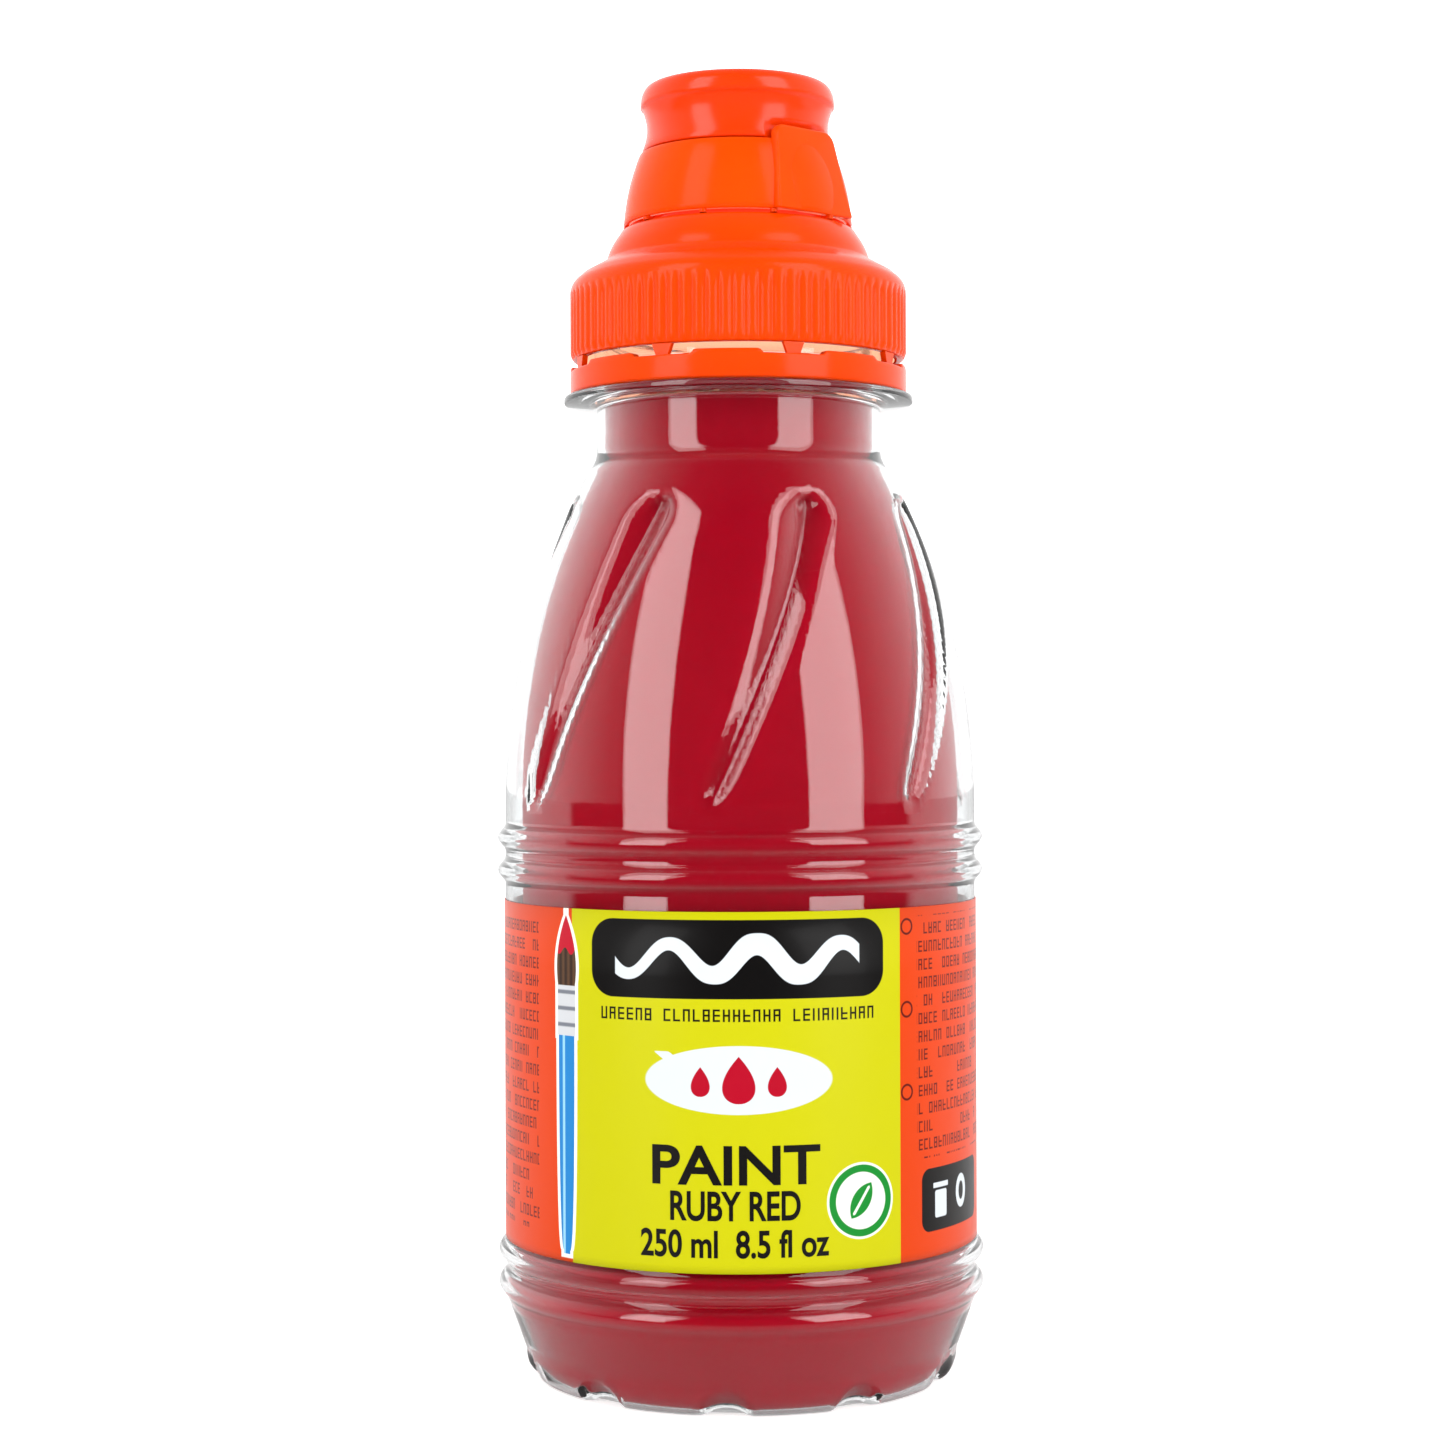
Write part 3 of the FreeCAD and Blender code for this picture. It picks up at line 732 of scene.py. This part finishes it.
# %% Raising a thread
def raise_thread(mesh, radius, reach, turns, phase):
    """Moves the vertices of a round wall out, or in where the reach is negative, along a helix."""
    half_base = 1.0 * MM
    half_crest = 0.35 * MM
    for vert in mesh.verts:
        if abs(away(vert.co) - radius) > 0.01 * MM:
            continue
        share = (math.atan2(vert.co.y, vert.co.x) - phase) / math.tau % 1.0
        stand = 0.0
        for lap in range(2):
            turn = share + lap
            off = abs(vert.co.z - thread_start - thread_lead * turn)
            fade = clamp(min(turn, turns - turn) * 20.0)
            slope = clamp((half_base - off) / (half_base - half_crest))
            stand = max(stand, slope * slope * (3.0 - 2.0 * slope) * fade)
        widen(vert, 1.0 + stand * reach / away(vert.co))


# %% [markdown]
# ## Flutes and foot notches
# Seven slanted flutes are pressed into the shoulder. Each is wide and arched at its top and
# narrows as it sweeps down and round. Ten scoops are pressed into the edge of the foot, so the
# bottle stands firm on an uneven table. Both are formulas: how deep the wall is pressed at a point.
# The outer and the inner skin move together, as a blown wall does.

# %% Pressing the wall in
flute_top = shoulder_high - 6.2 * MM
flute_length = flute_top - shoulder_low
flute_pitch = 360.0 / 7
flute_azimuth = 23.4
flute_sweep = 31.0
notch_pitch = 360.0 / 10
notch_azimuth = -4.5
notch_rise = 1.2 * MM
notch_half = 3.0 * MM
notch_bar = (notch_half ** 2 + notch_rise ** 2) / (2.0 * notch_rise)


def flute_depth(spot):
    """How far the flutes press the wall in at a point."""
    share = (flute_top - spot.z) / flute_length
    if share <= 0.0 or share >= 1.0:
        return 0.0
    off = side_of(spot) - flute_azimuth + flute_sweep * share
    off = (off + flute_pitch / 2) % flute_pitch - flute_pitch / 2
    slant = 0.94
    across = math.radians(off) * away(spot) * slant
    width = (3.6 - 1.7 * share) * MM
    from_top = share * flute_length / (3.4 * MM)
    from_low = (1.0 - share) * flute_length / (5.0 * MM)
    if from_top < 1.0:
        width *= math.sqrt(1.0 - (1.0 - from_top) ** 2)
    if from_low < 1.0:
        width *= math.sqrt(1.0 - (1.0 - from_low) ** 2)
    if abs(across) >= width:
        return 0.0
    deepest = 0.12
    part = across / width
    climb = (part + 1.0) / (1.0 + deepest) if part < deepest else (1.0 - part) / (1.0 - deepest)
    rounded = climb * climb * (3.0 - 2.0 * climb)
    return (2.0 - 0.9 * share) * MM * (0.6 * climb + 0.4 * rounded) * min(1.0, width / (1.5 * MM))


def press_notch(spot, inset):
    """The point, moved out of the nearest foot scoop's round bar."""
    off = (side_of(spot) - notch_azimuth + notch_pitch / 2) % notch_pitch - notch_pitch / 2
    radius = away(spot)
    aside = radius * math.sin(math.radians(off))
    bar = notch_bar + inset
    if abs(aside) >= bar or spot.z > 8.0 * MM or radius < 15.0 * MM:
        return spot
    lean = math.sqrt(0.5)
    centre_radius = foot_radius + notch_bar * lean
    centre_height = notch_rise - notch_bar * lean
    lift = (centre_radius - radius + spot.z - centre_height) * lean
    need = math.sqrt(bar ** 2 - aside ** 2) - lift
    if need <= 0.0:
        return spot
    inward = Vector((-spot.x, -spot.y, radius)) / radius * lean
    return spot + inward * need


def press(mesh, share, inset_of):
    """Presses the flutes and the foot scoops into a spun mesh."""
    for vert in mesh.verts:
        depth = flute_depth(vert.co) * share
        if depth > 0.0:
            widen(vert, 1.0 - depth / away(vert.co))
        vert.co = press_notch(vert.co, inset_of(vert.co))
    bmesh.ops.recalc_face_normals(mesh, faces=mesh.faces)


# %% The clear bottle
def clear_bottle():
    outside = body_points(0.0, neck_radius, 70) + finish_points()
    bore = 16.5 * MM
    inside = body_points(wall, bore, 60, foot_wall)
    inside += run((bore, shoulder_high + 4.0 * MM), (bore, mouth_height - 0.3 * MM), 5)
    inside.append((bore + 0.3 * MM, mouth_height))
    outline = outside + inside[::-1]
    mesh = spun(outline, 256)
    raise_thread(mesh, finish_radius, thread_reach, 1.4, 0.0)

    def inset_of(spot):
        """0 on the outer skin and the foot's wall thickness on the inner one."""
        middle = foot_radius + (foot_side - foot_radius) * spot.z / foot_round - 0.5 * foot_wall
        low = spot.z < 0.5 * foot_wall
        return 0.0 if low or (spot.z < 9.0 * MM and away(spot) > middle) else foot_wall

    press(mesh, 1.0, inset_of)
    return place_piece(mesh, "clear_bottle", "clear_pet", "filled_bottle", "bottle")


bottle = clear_bottle()

# %% [markdown]
# ## The paint
# The paint fills the bottle up to the tamper band. Its surface stands a little inside the wall, which
# leaves the clear rim of plastic round it that a filled bottle shows. At the foot it nearly touches
# the wall, so the red reaches down to the table.

# %% Paint filling
def paint_filling():
    inset = 2.1 * MM
    foot_inset = foot_wall + 0.08 * MM
    bore = 16.45 * MM
    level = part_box("paint")[1].z
    outline = body_points(inset, bore, 50, foot_inset)
    outline += run((bore, shoulder_high + 3.4 * MM), (bore, level - 0.4 * MM), 2)
    outline += [(bore, level - 0.4 * MM), (bore - 0.4 * MM, level), (0.0, level)]
    mesh = spun(outline, 240, closed=False)
    press(mesh, 0.8, lambda spot: foot_inset)
    return place_piece(mesh, "paint_filling", "crimson_paint", "filled_bottle", "paint")


paint = paint_filling()

# %% [markdown]
# ## The wrap-round label
# A label like this is one strip of film, glued on and lapped over itself at the back. A thin
# upright rectangle is spun a little more than once round, and its last few millimetres step
# out over its start.

# %% Label strip
label_steps = 296


def label_strip():
    inner = label_high.x - label_thickness
    lap = math.radians(10.0)
    mesh = bmesh.new()
    low, high = label_low.z, label_high.z
    round_off = 0.02 * MM
    outline = [(inner, low + round_off), (inner + round_off, low), (label_high.x, low + round_off)]
    outline += run((label_high.x, low + 1 * MM), (label_high.x, high - 1 * MM), 6)
    outline += [(label_high.x, high - round_off), (inner + round_off, high), (inner, high - round_off)]
    rim = [mesh.verts.new((0.0, radius, height)) for radius, height in outline]
    face = mesh.faces.new(rim)
    bmesh.ops.spin(
        mesh, geom=[face] + list(face.edges) + rim, cent=(0, 0, 0), axis=(0, 0, 1),
        angle=math.tau + lap, steps=label_steps, use_merge=False,
    )
    bmesh.ops.recalc_face_normals(mesh, faces=mesh.faces)
    return mesh


def step_lap(mesh):
    """Lifts the strip's last few millimetres over its start."""
    mesh.verts.ensure_lookup_table()
    ring = len(mesh.verts) // (label_steps + 1)
    for index, vert in enumerate(mesh.verts):
        turn = index // ring
        lift = clamp((turn - label_steps + 12) / 4.0)
        widen(vert, 1.0 + lift * (label_thickness + 0.03 * MM) / away(vert.co))
    return mesh


label = place_piece(step_lap(label_strip()), "label_strip", "printed_label", "filled_bottle", "label")

# %% [markdown]
# ## Words printed on the label
# The label says plainly what is in the bottle and how much. Each line is a text curve that
# becomes a mesh, is cut into narrow upright strips so that it can bend, is given the thickness of
# a layer of ink, and is then wrapped round the bottle.

# %% Printed words
ink_thickness = 0.03 * MM
cut_width = 0.9 * MM


def printed_words(name, words, middle, size):
    """Words whose middle is given in millimetres round and up, size wide and tall in millimetres."""
    curve = bpy.data.curves.new(name, "FONT")
    curve.body = words
    curve.offset = 0.02
    holder = shown(name + "_curve", curve)
    bpy.context.view_layer.update()
    flat = bpy.data.meshes.new_from_object(holder.evaluated_get(bpy.context.evaluated_depsgraph_get()))
    bpy.data.objects.remove(holder)
    mesh = bmesh.new()
    mesh.from_mesh(flat)
    xs = [vert.co.x for vert in mesh.verts]
    ys = [vert.co.y for vert in mesh.verts]
    bmesh.ops.translate(mesh, verts=mesh.verts, vec=(-(min(xs) + max(xs)) / 2, -(min(ys) + max(ys)) / 2, 0))
    scale = (size[0] * MM / (max(xs) - min(xs)), size[1] * MM / (max(ys) - min(ys)), 1.0)
    bmesh.ops.scale(mesh, verts=mesh.verts, vec=scale)
    bmesh.ops.translate(mesh, verts=mesh.verts, vec=(middle[0] * MM, middle[1] * MM, 0))
    for i in range(-30, 31):
        cut = mesh.verts[:] + mesh.edges[:] + mesh.faces[:]
        bmesh.ops.bisect_plane(mesh, geom=cut, plane_co=(i * cut_width, 0, 0), plane_no=(1, 0, 0), dist=1e-7)
    bmesh.ops.remove_doubles(mesh, verts=mesh.verts, dist=1e-7)
    lifted = bmesh.ops.extrude_face_region(mesh, geom=mesh.faces[:])
    top = [item for item in lifted["geom"] if isinstance(item, bmesh.types.BMVert)]
    bmesh.ops.translate(mesh, verts=top, vec=(0, 0, ink_thickness))
    for vert in mesh.verts:
        radius = label_high.x + 0.004 * MM + vert.co.z
        turn = vert.co.x / label_high.x
        vert.co = (radius * math.sin(turn), -radius * math.cos(turn), vert.co.y)
    bmesh.ops.recalc_face_normals(mesh, faces=mesh.faces)
    piece = place_piece(mesh, name, "black_ink", "filled_bottle", slot="printed_label")
    piece.data.polygons.foreach_set("use_smooth", [False] * len(piece.data.polygons))
    return piece


printed_words("words_paint", "PAINT", (-0.75, 29.45), (19.5, 4.5))
printed_words("words_colour", "RUBY RED", (-0.85, 24.8), (15.0, 3.4))
printed_words("words_volume", "250 ml  8.5 fl oz", (-0.95, 20.5), (22.0, 3.2))

# %% [markdown]
# ## The ribbed screw cap
# The cap is one moulding: a skirt with fine grip ribs, a rounded shoulder, a low dome and the
# chimney that the spout slides on. It is spun as one shell, with far more steps round than it
# needs to look round, so that the ribs can then be raised on it: six steps make one rib.

# %% Screw cap
rib_count = 80
rib_height = 0.4 * MM
skirt_root = cap_high.x - rib_height


def cap_outline():
    """The cap's shell from the skirt's inner lower edge, outside and up, then down the inside."""
    low = cap_low.z
    skirt_high = low + 8.2 * MM
    bore = cap_bore
    chimney = 8.95 * MM
    top = crown + 9.5 * MM
    points = [(bore, low + 0.2 * MM), (bore + 0.2 * MM, low)]
    points += corner((skirt_root - 0.25 * MM, low + 0.25 * MM), 0.25 * MM, -90, 0, 3)
    points += run((skirt_root, low + 0.8 * MM), (skirt_root, skirt_high), 7)
    points += corner((cap_high.x - 2.3 * MM, skirt_high), 2.3 * MM, 0, 58, 8)
    points += run((cap_high.x - 1.5 * MM, skirt_high + 2.35 * MM), (16.6 * MM, low + 12.0 * MM), 3)
    points += [(16.45 * MM, low + 12.06 * MM), (16.25 * MM, low + 12.25 * MM)]
    points += run((16.2 * MM, low + 12.35 * MM), (14.5 * MM, low + 15.6 * MM), 8, 0.22 * MM)
    points += [(14.4 * MM, low + 15.8 * MM), (14.0 * MM, low + 16.05 * MM), (13.4 * MM, crown)]
    points += [(chimney + 0.2 * MM, crown), (chimney, crown + 0.2 * MM), (chimney, top - 1.5 * MM)]
    points += [(chimney + 0.45 * MM, top - 1.05 * MM), (chimney + 0.45 * MM, top - 0.45 * MM)]
    points += [(chimney, top), (chimney - 1.05 * MM, top), (chimney - 1.05 * MM, crown - 1.3 * MM)]
    points += [(12.8 * MM, crown - 1.3 * MM), (15.0 * MM, low + 10.85 * MM), (15.0 * MM, low + 9.9 * MM)]
    points += run((bore, low + 9.9 * MM), (bore, low + 0.2 * MM), 38)
    return points


def raise_ribs(mesh, low, high):
    """Raises rounded upright ribs on the skirt between two heights."""
    for vert in mesh.verts:
        radius = away(vert.co)
        if radius < skirt_root - 0.3 * MM or not low < vert.co.z < high:
            continue
        turn = math.atan2(vert.co.y, vert.co.x)
        wave = 0.5 + 0.5 * math.cos(turn * rib_count)
        fade = min(1.0, (vert.co.z - low) / (0.5 * MM))
        stand = rib_height * wave ** 0.45 * fade
        widen(vert, max(skirt_root + stand, radius) / radius)


def screw_cap():
    mesh = spun(cap_outline(), rib_count * 6)
    raise_ribs(mesh, cap_low.z + 0.05 * MM, cap_low.z + 8.6 * MM)
    raise_thread(mesh, cap_bore, -thread_reach, 1.2, math.pi)
    bmesh.ops.recalc_face_normals(mesh, faces=mesh.faces)
    # Faces inside the skirt and under the bell take the second finish, a painted glow that lights the slots
    # and the gap under the bell.
    for face in mesh.faces:
        middle = face.calc_center_median()
        skirt_side = away(middle) < cap_high.x - 1.5 * MM and middle.z < cap_low.z + 10.5 * MM
        under_bell = away(middle) < 13.2 * MM and crown - 0.1 * MM < middle.z < crown + 7.8 * MM
        face.material_index = 1 if skirt_side or under_bell else 0
    piece = place_piece(mesh, "ribbed_cap", "orange_cap", "cap", "screw_cap")
    piece.data.materials.append(finishes["painted_glow_inside"])
    return piece


cap = screw_cap()

# %% [markdown]
# ## Plug pin and webs
# A pin stands in the middle of the chimney on three webs and plugs the spout while the spout is
# pushed down. It is spun, and each web is a thin bar with softened edges.

# %% Plug pin
def plug_pin():
    top = spout_high.z - 1.4 * MM - 0.25 * MM
    low = crown + 7.5 * MM
    radius = 1.85 * MM
    outline = [(0.0, low)] + corner((radius - 0.2 * MM, low + 0.2 * MM), 0.2 * MM, -90, 0, 3)
    outline += run((radius, low + 1 * MM), (radius, top - 0.5 * MM), 3)
    outline += corner((radius - 0.5 * MM, top - 0.5 * MM), 0.5 * MM, 0, 90, 4) + [(0.0, top)]
    mesh = spun(outline, 48, closed=False)
    for i in range(3):
        turn = Matrix.Rotation(math.tau * i / 3, 4, "Z")
        shape = Matrix.Diagonal((7.4 * MM, 1.2 * MM, 2.0 * MM, 1.0))
        place = turn @ Matrix.Translation((4.4 * MM, 0, low + 1.0 * MM)) @ shape
        web = bmesh.ops.create_cube(mesh, size=1.0, matrix=place)
        edges = {edge for vert in web["verts"] for edge in vert.link_edges}
        bmesh.ops.bevel(mesh, geom=list(edges), offset=0.15 * MM, segments=2, profile=0.5, affect="EDGES",
                        material=-1)
    return place_piece(mesh, "plug_pin", "orange_cap", "cap", slot="orange_cap")


plug_pin()

# %% [markdown]
# ## The tamper band
# The band is the ring that stays on the neck. Its top edge has eight raised lands, and between them
# sit the small bridges that snap when the cap is first turned.

# %% Tamper band
def tamper_band():
    outer = band_high.x
    inner = outer - 1.5 * MM
    low, high = band_low.z, band_high.z
    slot_high = high - 0.5 * MM
    outline = corner((outer - 0.3 * MM, low + 0.3 * MM), 0.3 * MM, -90, 0, 4)
    outline += run((outer, low + 0.9 * MM), (outer, slot_high - 0.25 * MM), 4)
    outline += corner((outer - 0.25 * MM, slot_high - 0.25 * MM), 0.25 * MM, 0, 90, 4)
    outline += [(inner + 0.2 * MM, slot_high), (inner, slot_high - 0.2 * MM), (inner, low + 1.75 * MM)]
    outline += [(inner - 0.65 * MM, low + 1.1 * MM), (inner - 0.65 * MM, low + 0.55 * MM), (inner, low)]
    mesh = spun(outline, 360)
    for vert in mesh.verts:
        if vert.co.z < slot_high - 0.3 * MM:
            continue
        off = abs((side_of(vert.co) - 18.4) % 45.0 - 22.5)
        land = clamp((12.2 - off) / 1.6)
        reach = min(1.0, (vert.co.z - slot_high + 0.3 * MM) / (0.25 * MM))
        vert.co.z += 0.5 * MM * land * land * (3.0 - 2.0 * land) * reach
    return place_piece(mesh, "neck_band", "orange_cap", "filled_bottle", "tamper_band")


tamper_band()

# %% [markdown]
# ## The tear strip and its pull tab
# The strip is a bell-shaped ring, thin at its top edge. The tab is a flat leaning plate that
# stands proud of the round strip at both its sides, because a plate can't follow a curve. It is a
# bar with its corners moved in at the top and its edges rounded. Its head and its foot are each told
# as half a width and a distance from the axis, in millimetres.

# %% Tear strip
tab_azimuth = math.radians(43.0)
tab_thickness = 1.2
tab_head = (4.7, 11.8)
tab_foot = (6.2, 13.9)


def strip_outline():
    low = strip_low.z
    top = crown + 9.2 * MM
    points = [(13.3 * MM, low), (13.9 * MM, low), (14.08 * MM, low + 0.15 * MM)]
    for i in range(1, 11):
        share = i / 11
        bulge = 0.35 * math.sin(math.pi * share)
        points.append(((14.1 - 2.0 * share + bulge) * MM, low + (top - low) * share))
    points += corner((11.85 * MM, top - 0.3 * MM), 0.3 * MM, 20, 90, 4)
    points += [(11.2 * MM, top), (11.15 * MM, top - 0.2 * MM)]
    points += run((11.3 * MM, top - 1.0 * MM), (13.2 * MM, low + 0.2 * MM), 5, 0.3 * MM)
    return points


def pull_tab(mesh):
    """Adds the flat leaning tab to the strip's mesh."""
    low = strip_low.z
    high = strip_high.z
    made = bmesh.ops.create_cube(mesh, size=1.0)
    verts = made["verts"]
    for vert in verts:
        upper = vert.co.z > 0
        outer = vert.co.y < 0
        half, face = tab_head if upper else tab_foot
        depth = face if outer else face - tab_thickness
        vert.co = (math.copysign(half, vert.co.x) * MM, -depth * MM, high if upper else low)
    faces = {face for vert in verts for face in vert.link_faces}
    edges = list({edge for face in faces for edge in face.edges})
    tops = [e for e in edges if all(v.co.z > high - 0.01 * MM for v in e.verts)
            and abs(e.verts[0].co.y - e.verts[1].co.y) > 0.5 * MM]
    bmesh.ops.bevel(mesh, geom=tops, offset=1.3 * MM, segments=6, profile=0.5, affect="EDGES", material=-1)


def tear_strip():
    tab = bmesh.new()
    pull_tab(tab)
    sharp = [edge for edge in tab.edges if len(edge.link_faces) == 2 and edge.calc_face_angle() > 0.6]
    bmesh.ops.bevel(tab, geom=sharp, offset=0.28 * MM, segments=3, profile=0.5, affect="EDGES", material=-1)
    bmesh.ops.rotate(tab, verts=tab.verts, cent=(0, 0, 0), matrix=Matrix.Rotation(tab_azimuth, 3, "Z"))
    mesh = spun(strip_outline(), 240)
    mesh.from_mesh(baked(tab, "tab"))
    return place_piece(mesh, "tear_strip_bell", "orange_strip_glowing", "cap", "tear_strip", slot="orange_cap")


tear_strip()

# %% [markdown]
# ## The push-pull spout
# The spout flares out to its lip so that fingers can grip it, and its top is dished round the small
# hole. Below its waist it is a plain sleeve inside the tear strip. A flat is pressed into its waist
# to clear the pull tab.

# %% Spout
def spout_outline():
    low, high = spout_low.z, spout_high.z
    crown = high - 17.6 * MM
    waist_foot = crown + 9.35 * MM
    points = [(9.1 * MM, low), (10.2 * MM, low), (10.4 * MM, low + 0.2 * MM)]
    points += run((10.4 * MM, low + 1 * MM), (10.4 * MM, waist_foot), 5)
    points += [(10.45 * MM, waist_foot), (11.5 * MM, waist_foot)]
    points += corner((11.5 * MM, waist_foot + 0.25 * MM), 0.25 * MM, -90, 0, 3)
    for i in range(1, 12):
        share = i / 12
        radius = 11.75 - 0.62 * math.sin(math.pi * min(1.0, share / 0.98)) ** 0.9
        radius += 0.2 * share ** 2.0
        points.append((radius * MM, waist_foot + 0.4 * MM + 5.6 * MM * share))
    rim_high = high - waist_foot - 6.0 * MM
    for i in range(9):
        turn = math.radians(100.0 * i / 8 - 10.0)
        points.append((10.65 * MM + 1.3 * MM * math.cos(turn), high + rim_high * (math.sin(turn) - 1.0)))
    points += corner((10.2 * MM, high - 0.35 * MM), 0.35 * MM, 90, 180, 4)
    points += run((9.8 * MM, high - 0.6 * MM), (9.1 * MM, high - 1.3 * MM), 2)
    points += [(8.9 * MM, high - 1.4 * MM), (2.3 * MM, high - 1.4 * MM), (2.0 * MM, high - 1.6 * MM)]
    points += [(2.0 * MM, high - 2.6 * MM), (9.6 * MM, high - 2.6 * MM)]
    points += [(9.6 * MM, low + 1.0 * MM), (9.1 * MM, low + 1.0 * MM)]
    return points


def clear_tab(mesh):
    """Presses a flat into the waist behind the pull tab."""
    normal = Vector((math.sin(tab_azimuth), -math.cos(tab_azimuth), 0.0))
    side = Vector((-normal.y, normal.x, 0.0))
    foot = strip_low.z
    tall = strip_high.z - foot
    gap = 0.5
    for vert in mesh.verts:
        if vert.co.z > strip_high.z + 0.3 * MM or vert.co.z < strip_high.z - 2.2 * MM:
            continue
        share = (vert.co.z - foot) / tall
        half = (tab_foot[0] + (tab_head[0] - tab_foot[0]) * share + 0.35) * MM
        limit = (tab_foot[1] + (tab_head[1] - tab_foot[1]) * share - tab_thickness - gap) * MM
        beyond = vert.co.dot(normal) - limit
        if beyond > 0.0 and abs(vert.co.dot(side)) < half:
            vert.co -= normal * beyond


def spout():
    mesh = spun(spout_outline(), 360)
    clear_tab(mesh)
    bmesh.ops.recalc_face_normals(mesh, faces=mesh.faces)
    return place_piece(mesh, "pull_spout", "orange_spout_shaded", "push_pull_spout", "spout", slot="orange_cap")


spout()

# %% [markdown]
# ## Pieces that keep their shape
# The snap bridges, the strip's pegs and the seal ring are small and already right, so they only
# get their finish.

# %% Finishes for the kept pieces
kept_finishes = {"band_bridges": "orange_cap", "strip_bridges": "orange_cap", "seal_ring": "white_foam"}
for node, finish in kept_finishes.items():
    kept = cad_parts[node]
    kept.data.materials.clear()
    kept.data.materials.append(finishes[finish])
    print(node, "keeps its shape")

# %% [markdown]
# ## Floor and light
# Clear plastic shows what is round it. Two tall soft boxes stand to the front left and front right
# and leave two upright bands of light on every round surface. The space between them stays dark, so
# the red stays deep there, and the light ground behind gives the clear wall its bright edge. A
# studio does this with black and white cards. Here the floor and the room ask what a ray has met
# so far, and are dark or pale to suit.

# %% What a ray has met
def ray(place, kind):
    """What the light path says of the ray that asks: a depth or a yes or no."""
    return place.node("LightPath", output=kind)


def mirrored(place):
    """1 where the ray has been mirrored by a glossy surface on its way from the camera."""
    return ray(place, "Glossy Depth") > 0.5


def mirrored_often(place):
    """1 where the ray has been mirrored more than once, as inside the rim of a clear wall."""
    return ray(place, "Glossy Depth") > 1.5


def straight_through(place):
    """1 where the ray has only passed through clear plastic, with nothing mirrored or scattered."""
    passed = ray(place, "Transmission Depth") > 0.5
    return passed * (ray(place, "Diffuse Depth") < 0.5) * (1.0 - mirrored(place))


def ramp(value, start, end):
    """0 up to the start and 1 from the end on."""
    return ((value - start) / (end - start)).clamped()


print("rays sorted")

# %% [markdown]
# ## The floor
# The floor is a wide pale disc. Once mirrored, its front part is dark, as if a black card lay before
# the bottle, and it is lifted to white where it is seen straight or through the clear wall.

# %% Floor
def pale_floor():
    mesh = bmesh.new()
    bmesh.ops.create_circle(mesh, cap_ends=True, segments=96, radius=4.0)
    floor = shown("floor", baked(mesh, "floor"))
    material, place, link = finish_of(
        "pale_floor", Roughness=0.9, Specular_IOR_Level=0.0, Emission_Strength=1.0
    )
    pale = place.noise(3.0, 2.0).mix(grey(0.8), grey(0.84))
    y = axes(place)[1]
    card = mirrored(place) * (1.0 - mirrored_often(place)) * (1.0 - ramp(y, -0.08, 0.03))
    glow = ray(place, "Is Camera Ray") * 0.62 + straight_through(place) * 0.5
    glow = glow + (mirrored(place) - card) * 0.4
    link(Base_Color=card.mix(pale, grey(0.05)), Emission_Color=glow.mix(grey(0.0), grey(1.0)))
    floor.data.materials.append(material)


pale_floor()
print("floor laid")

# %% [markdown]
# ## The soft boxes
# Each is a tall area light that faces the bottle from 0.8 m.

# %% Soft boxes
def soft_box(name, azimuth, size, power):
    """A tall area light that faces the bottle."""
    light = bpy.data.lights.new(name, "AREA")
    light.shape = "RECTANGLE"
    light.size, light.size_y = size
    light.energy = power
    turn = math.radians(azimuth)
    distance = 0.8
    place = Vector((distance * math.sin(turn), -distance * math.cos(turn), 0.3))
    holder = shown(name, light)
    holder.location = place
    aim = Vector((0, 0, 0.08)) - place
    holder.rotation_euler = aim.to_track_quat("-Z", "Y").to_euler()


soft_box("left_soft_box", -46.0, (0.34, 1.2), 4.1)
soft_box("right_soft_box", 46.5, (0.43, 1.2), 5.0)
print("two soft boxes")

# %% [markdown]
# ## Surroundings
# The room is white behind the bottle, dim beside it and dark before it for what the gloss mirrors.
# For the light that falls on the bottle it is an even, pale room.

# %% Surroundings
def surroundings():
    world = bpy.data.worlds.new("studio")
    world.use_nodes = True
    tree = world.node_tree
    place = Sock(tree).node("TexCoord", output=0)
    y, z = axes(place)[1:]
    behind = ramp(y, -0.4, 0.43)
    beside = ramp(y, -0.62, -0.45)
    above = z.most(0.0)
    studio = (0.02 + 0.24 * beside) * (1.0 - 0.85 * ramp(above, 0.35, 0.8))
    studio = studio + behind * (1.0 - 0.5 * ramp(above, 0.6, 1.0))
    studio = studio.most(0.75 * mirrored_often(place))
    fill = (0.9 + 0.8 * behind) * (1.15 - 0.6 * above)
    through = straight_through(place)
    dim = mirrored(place)
    fill = fill * (1.0 - through) + (0.9 + 0.15 * behind) * through
    seen = ray(place, "Is Camera Ray")
    glow = (studio * dim + fill * (1.0 - dim)).most(seen * 1.05)
    background = tree.nodes["Background"]
    background.inputs["Color"].default_value = (1.0, 1.0, 1.0, 1.0)
    tree.links.new(glow.socket, background.inputs["Strength"])
    bpy.context.scene.world = world


surroundings()
bpy.context.scene.view_settings.view_transform = "Standard"

# %% [markdown]
# ## Camera
# The camera looks level at the middle of the bottle from about a third of a metre, the distance of
# a product photograph with a short telephoto lens.

# %% Camera
camera_data = bpy.data.cameras.new("camera")
camera_data.lens = 71.5
camera_data.sensor_width = 36.0
camera = shown("camera", camera_data)
camera.location = (-0.0021, -0.3543, 0.0797)
camera.rotation_euler = (math.radians(90.0), math.radians(0.2), 0.0)
bpy.context.scene.camera = camera
print("camera at", tuple(round(value, 4) for value in camera.location))
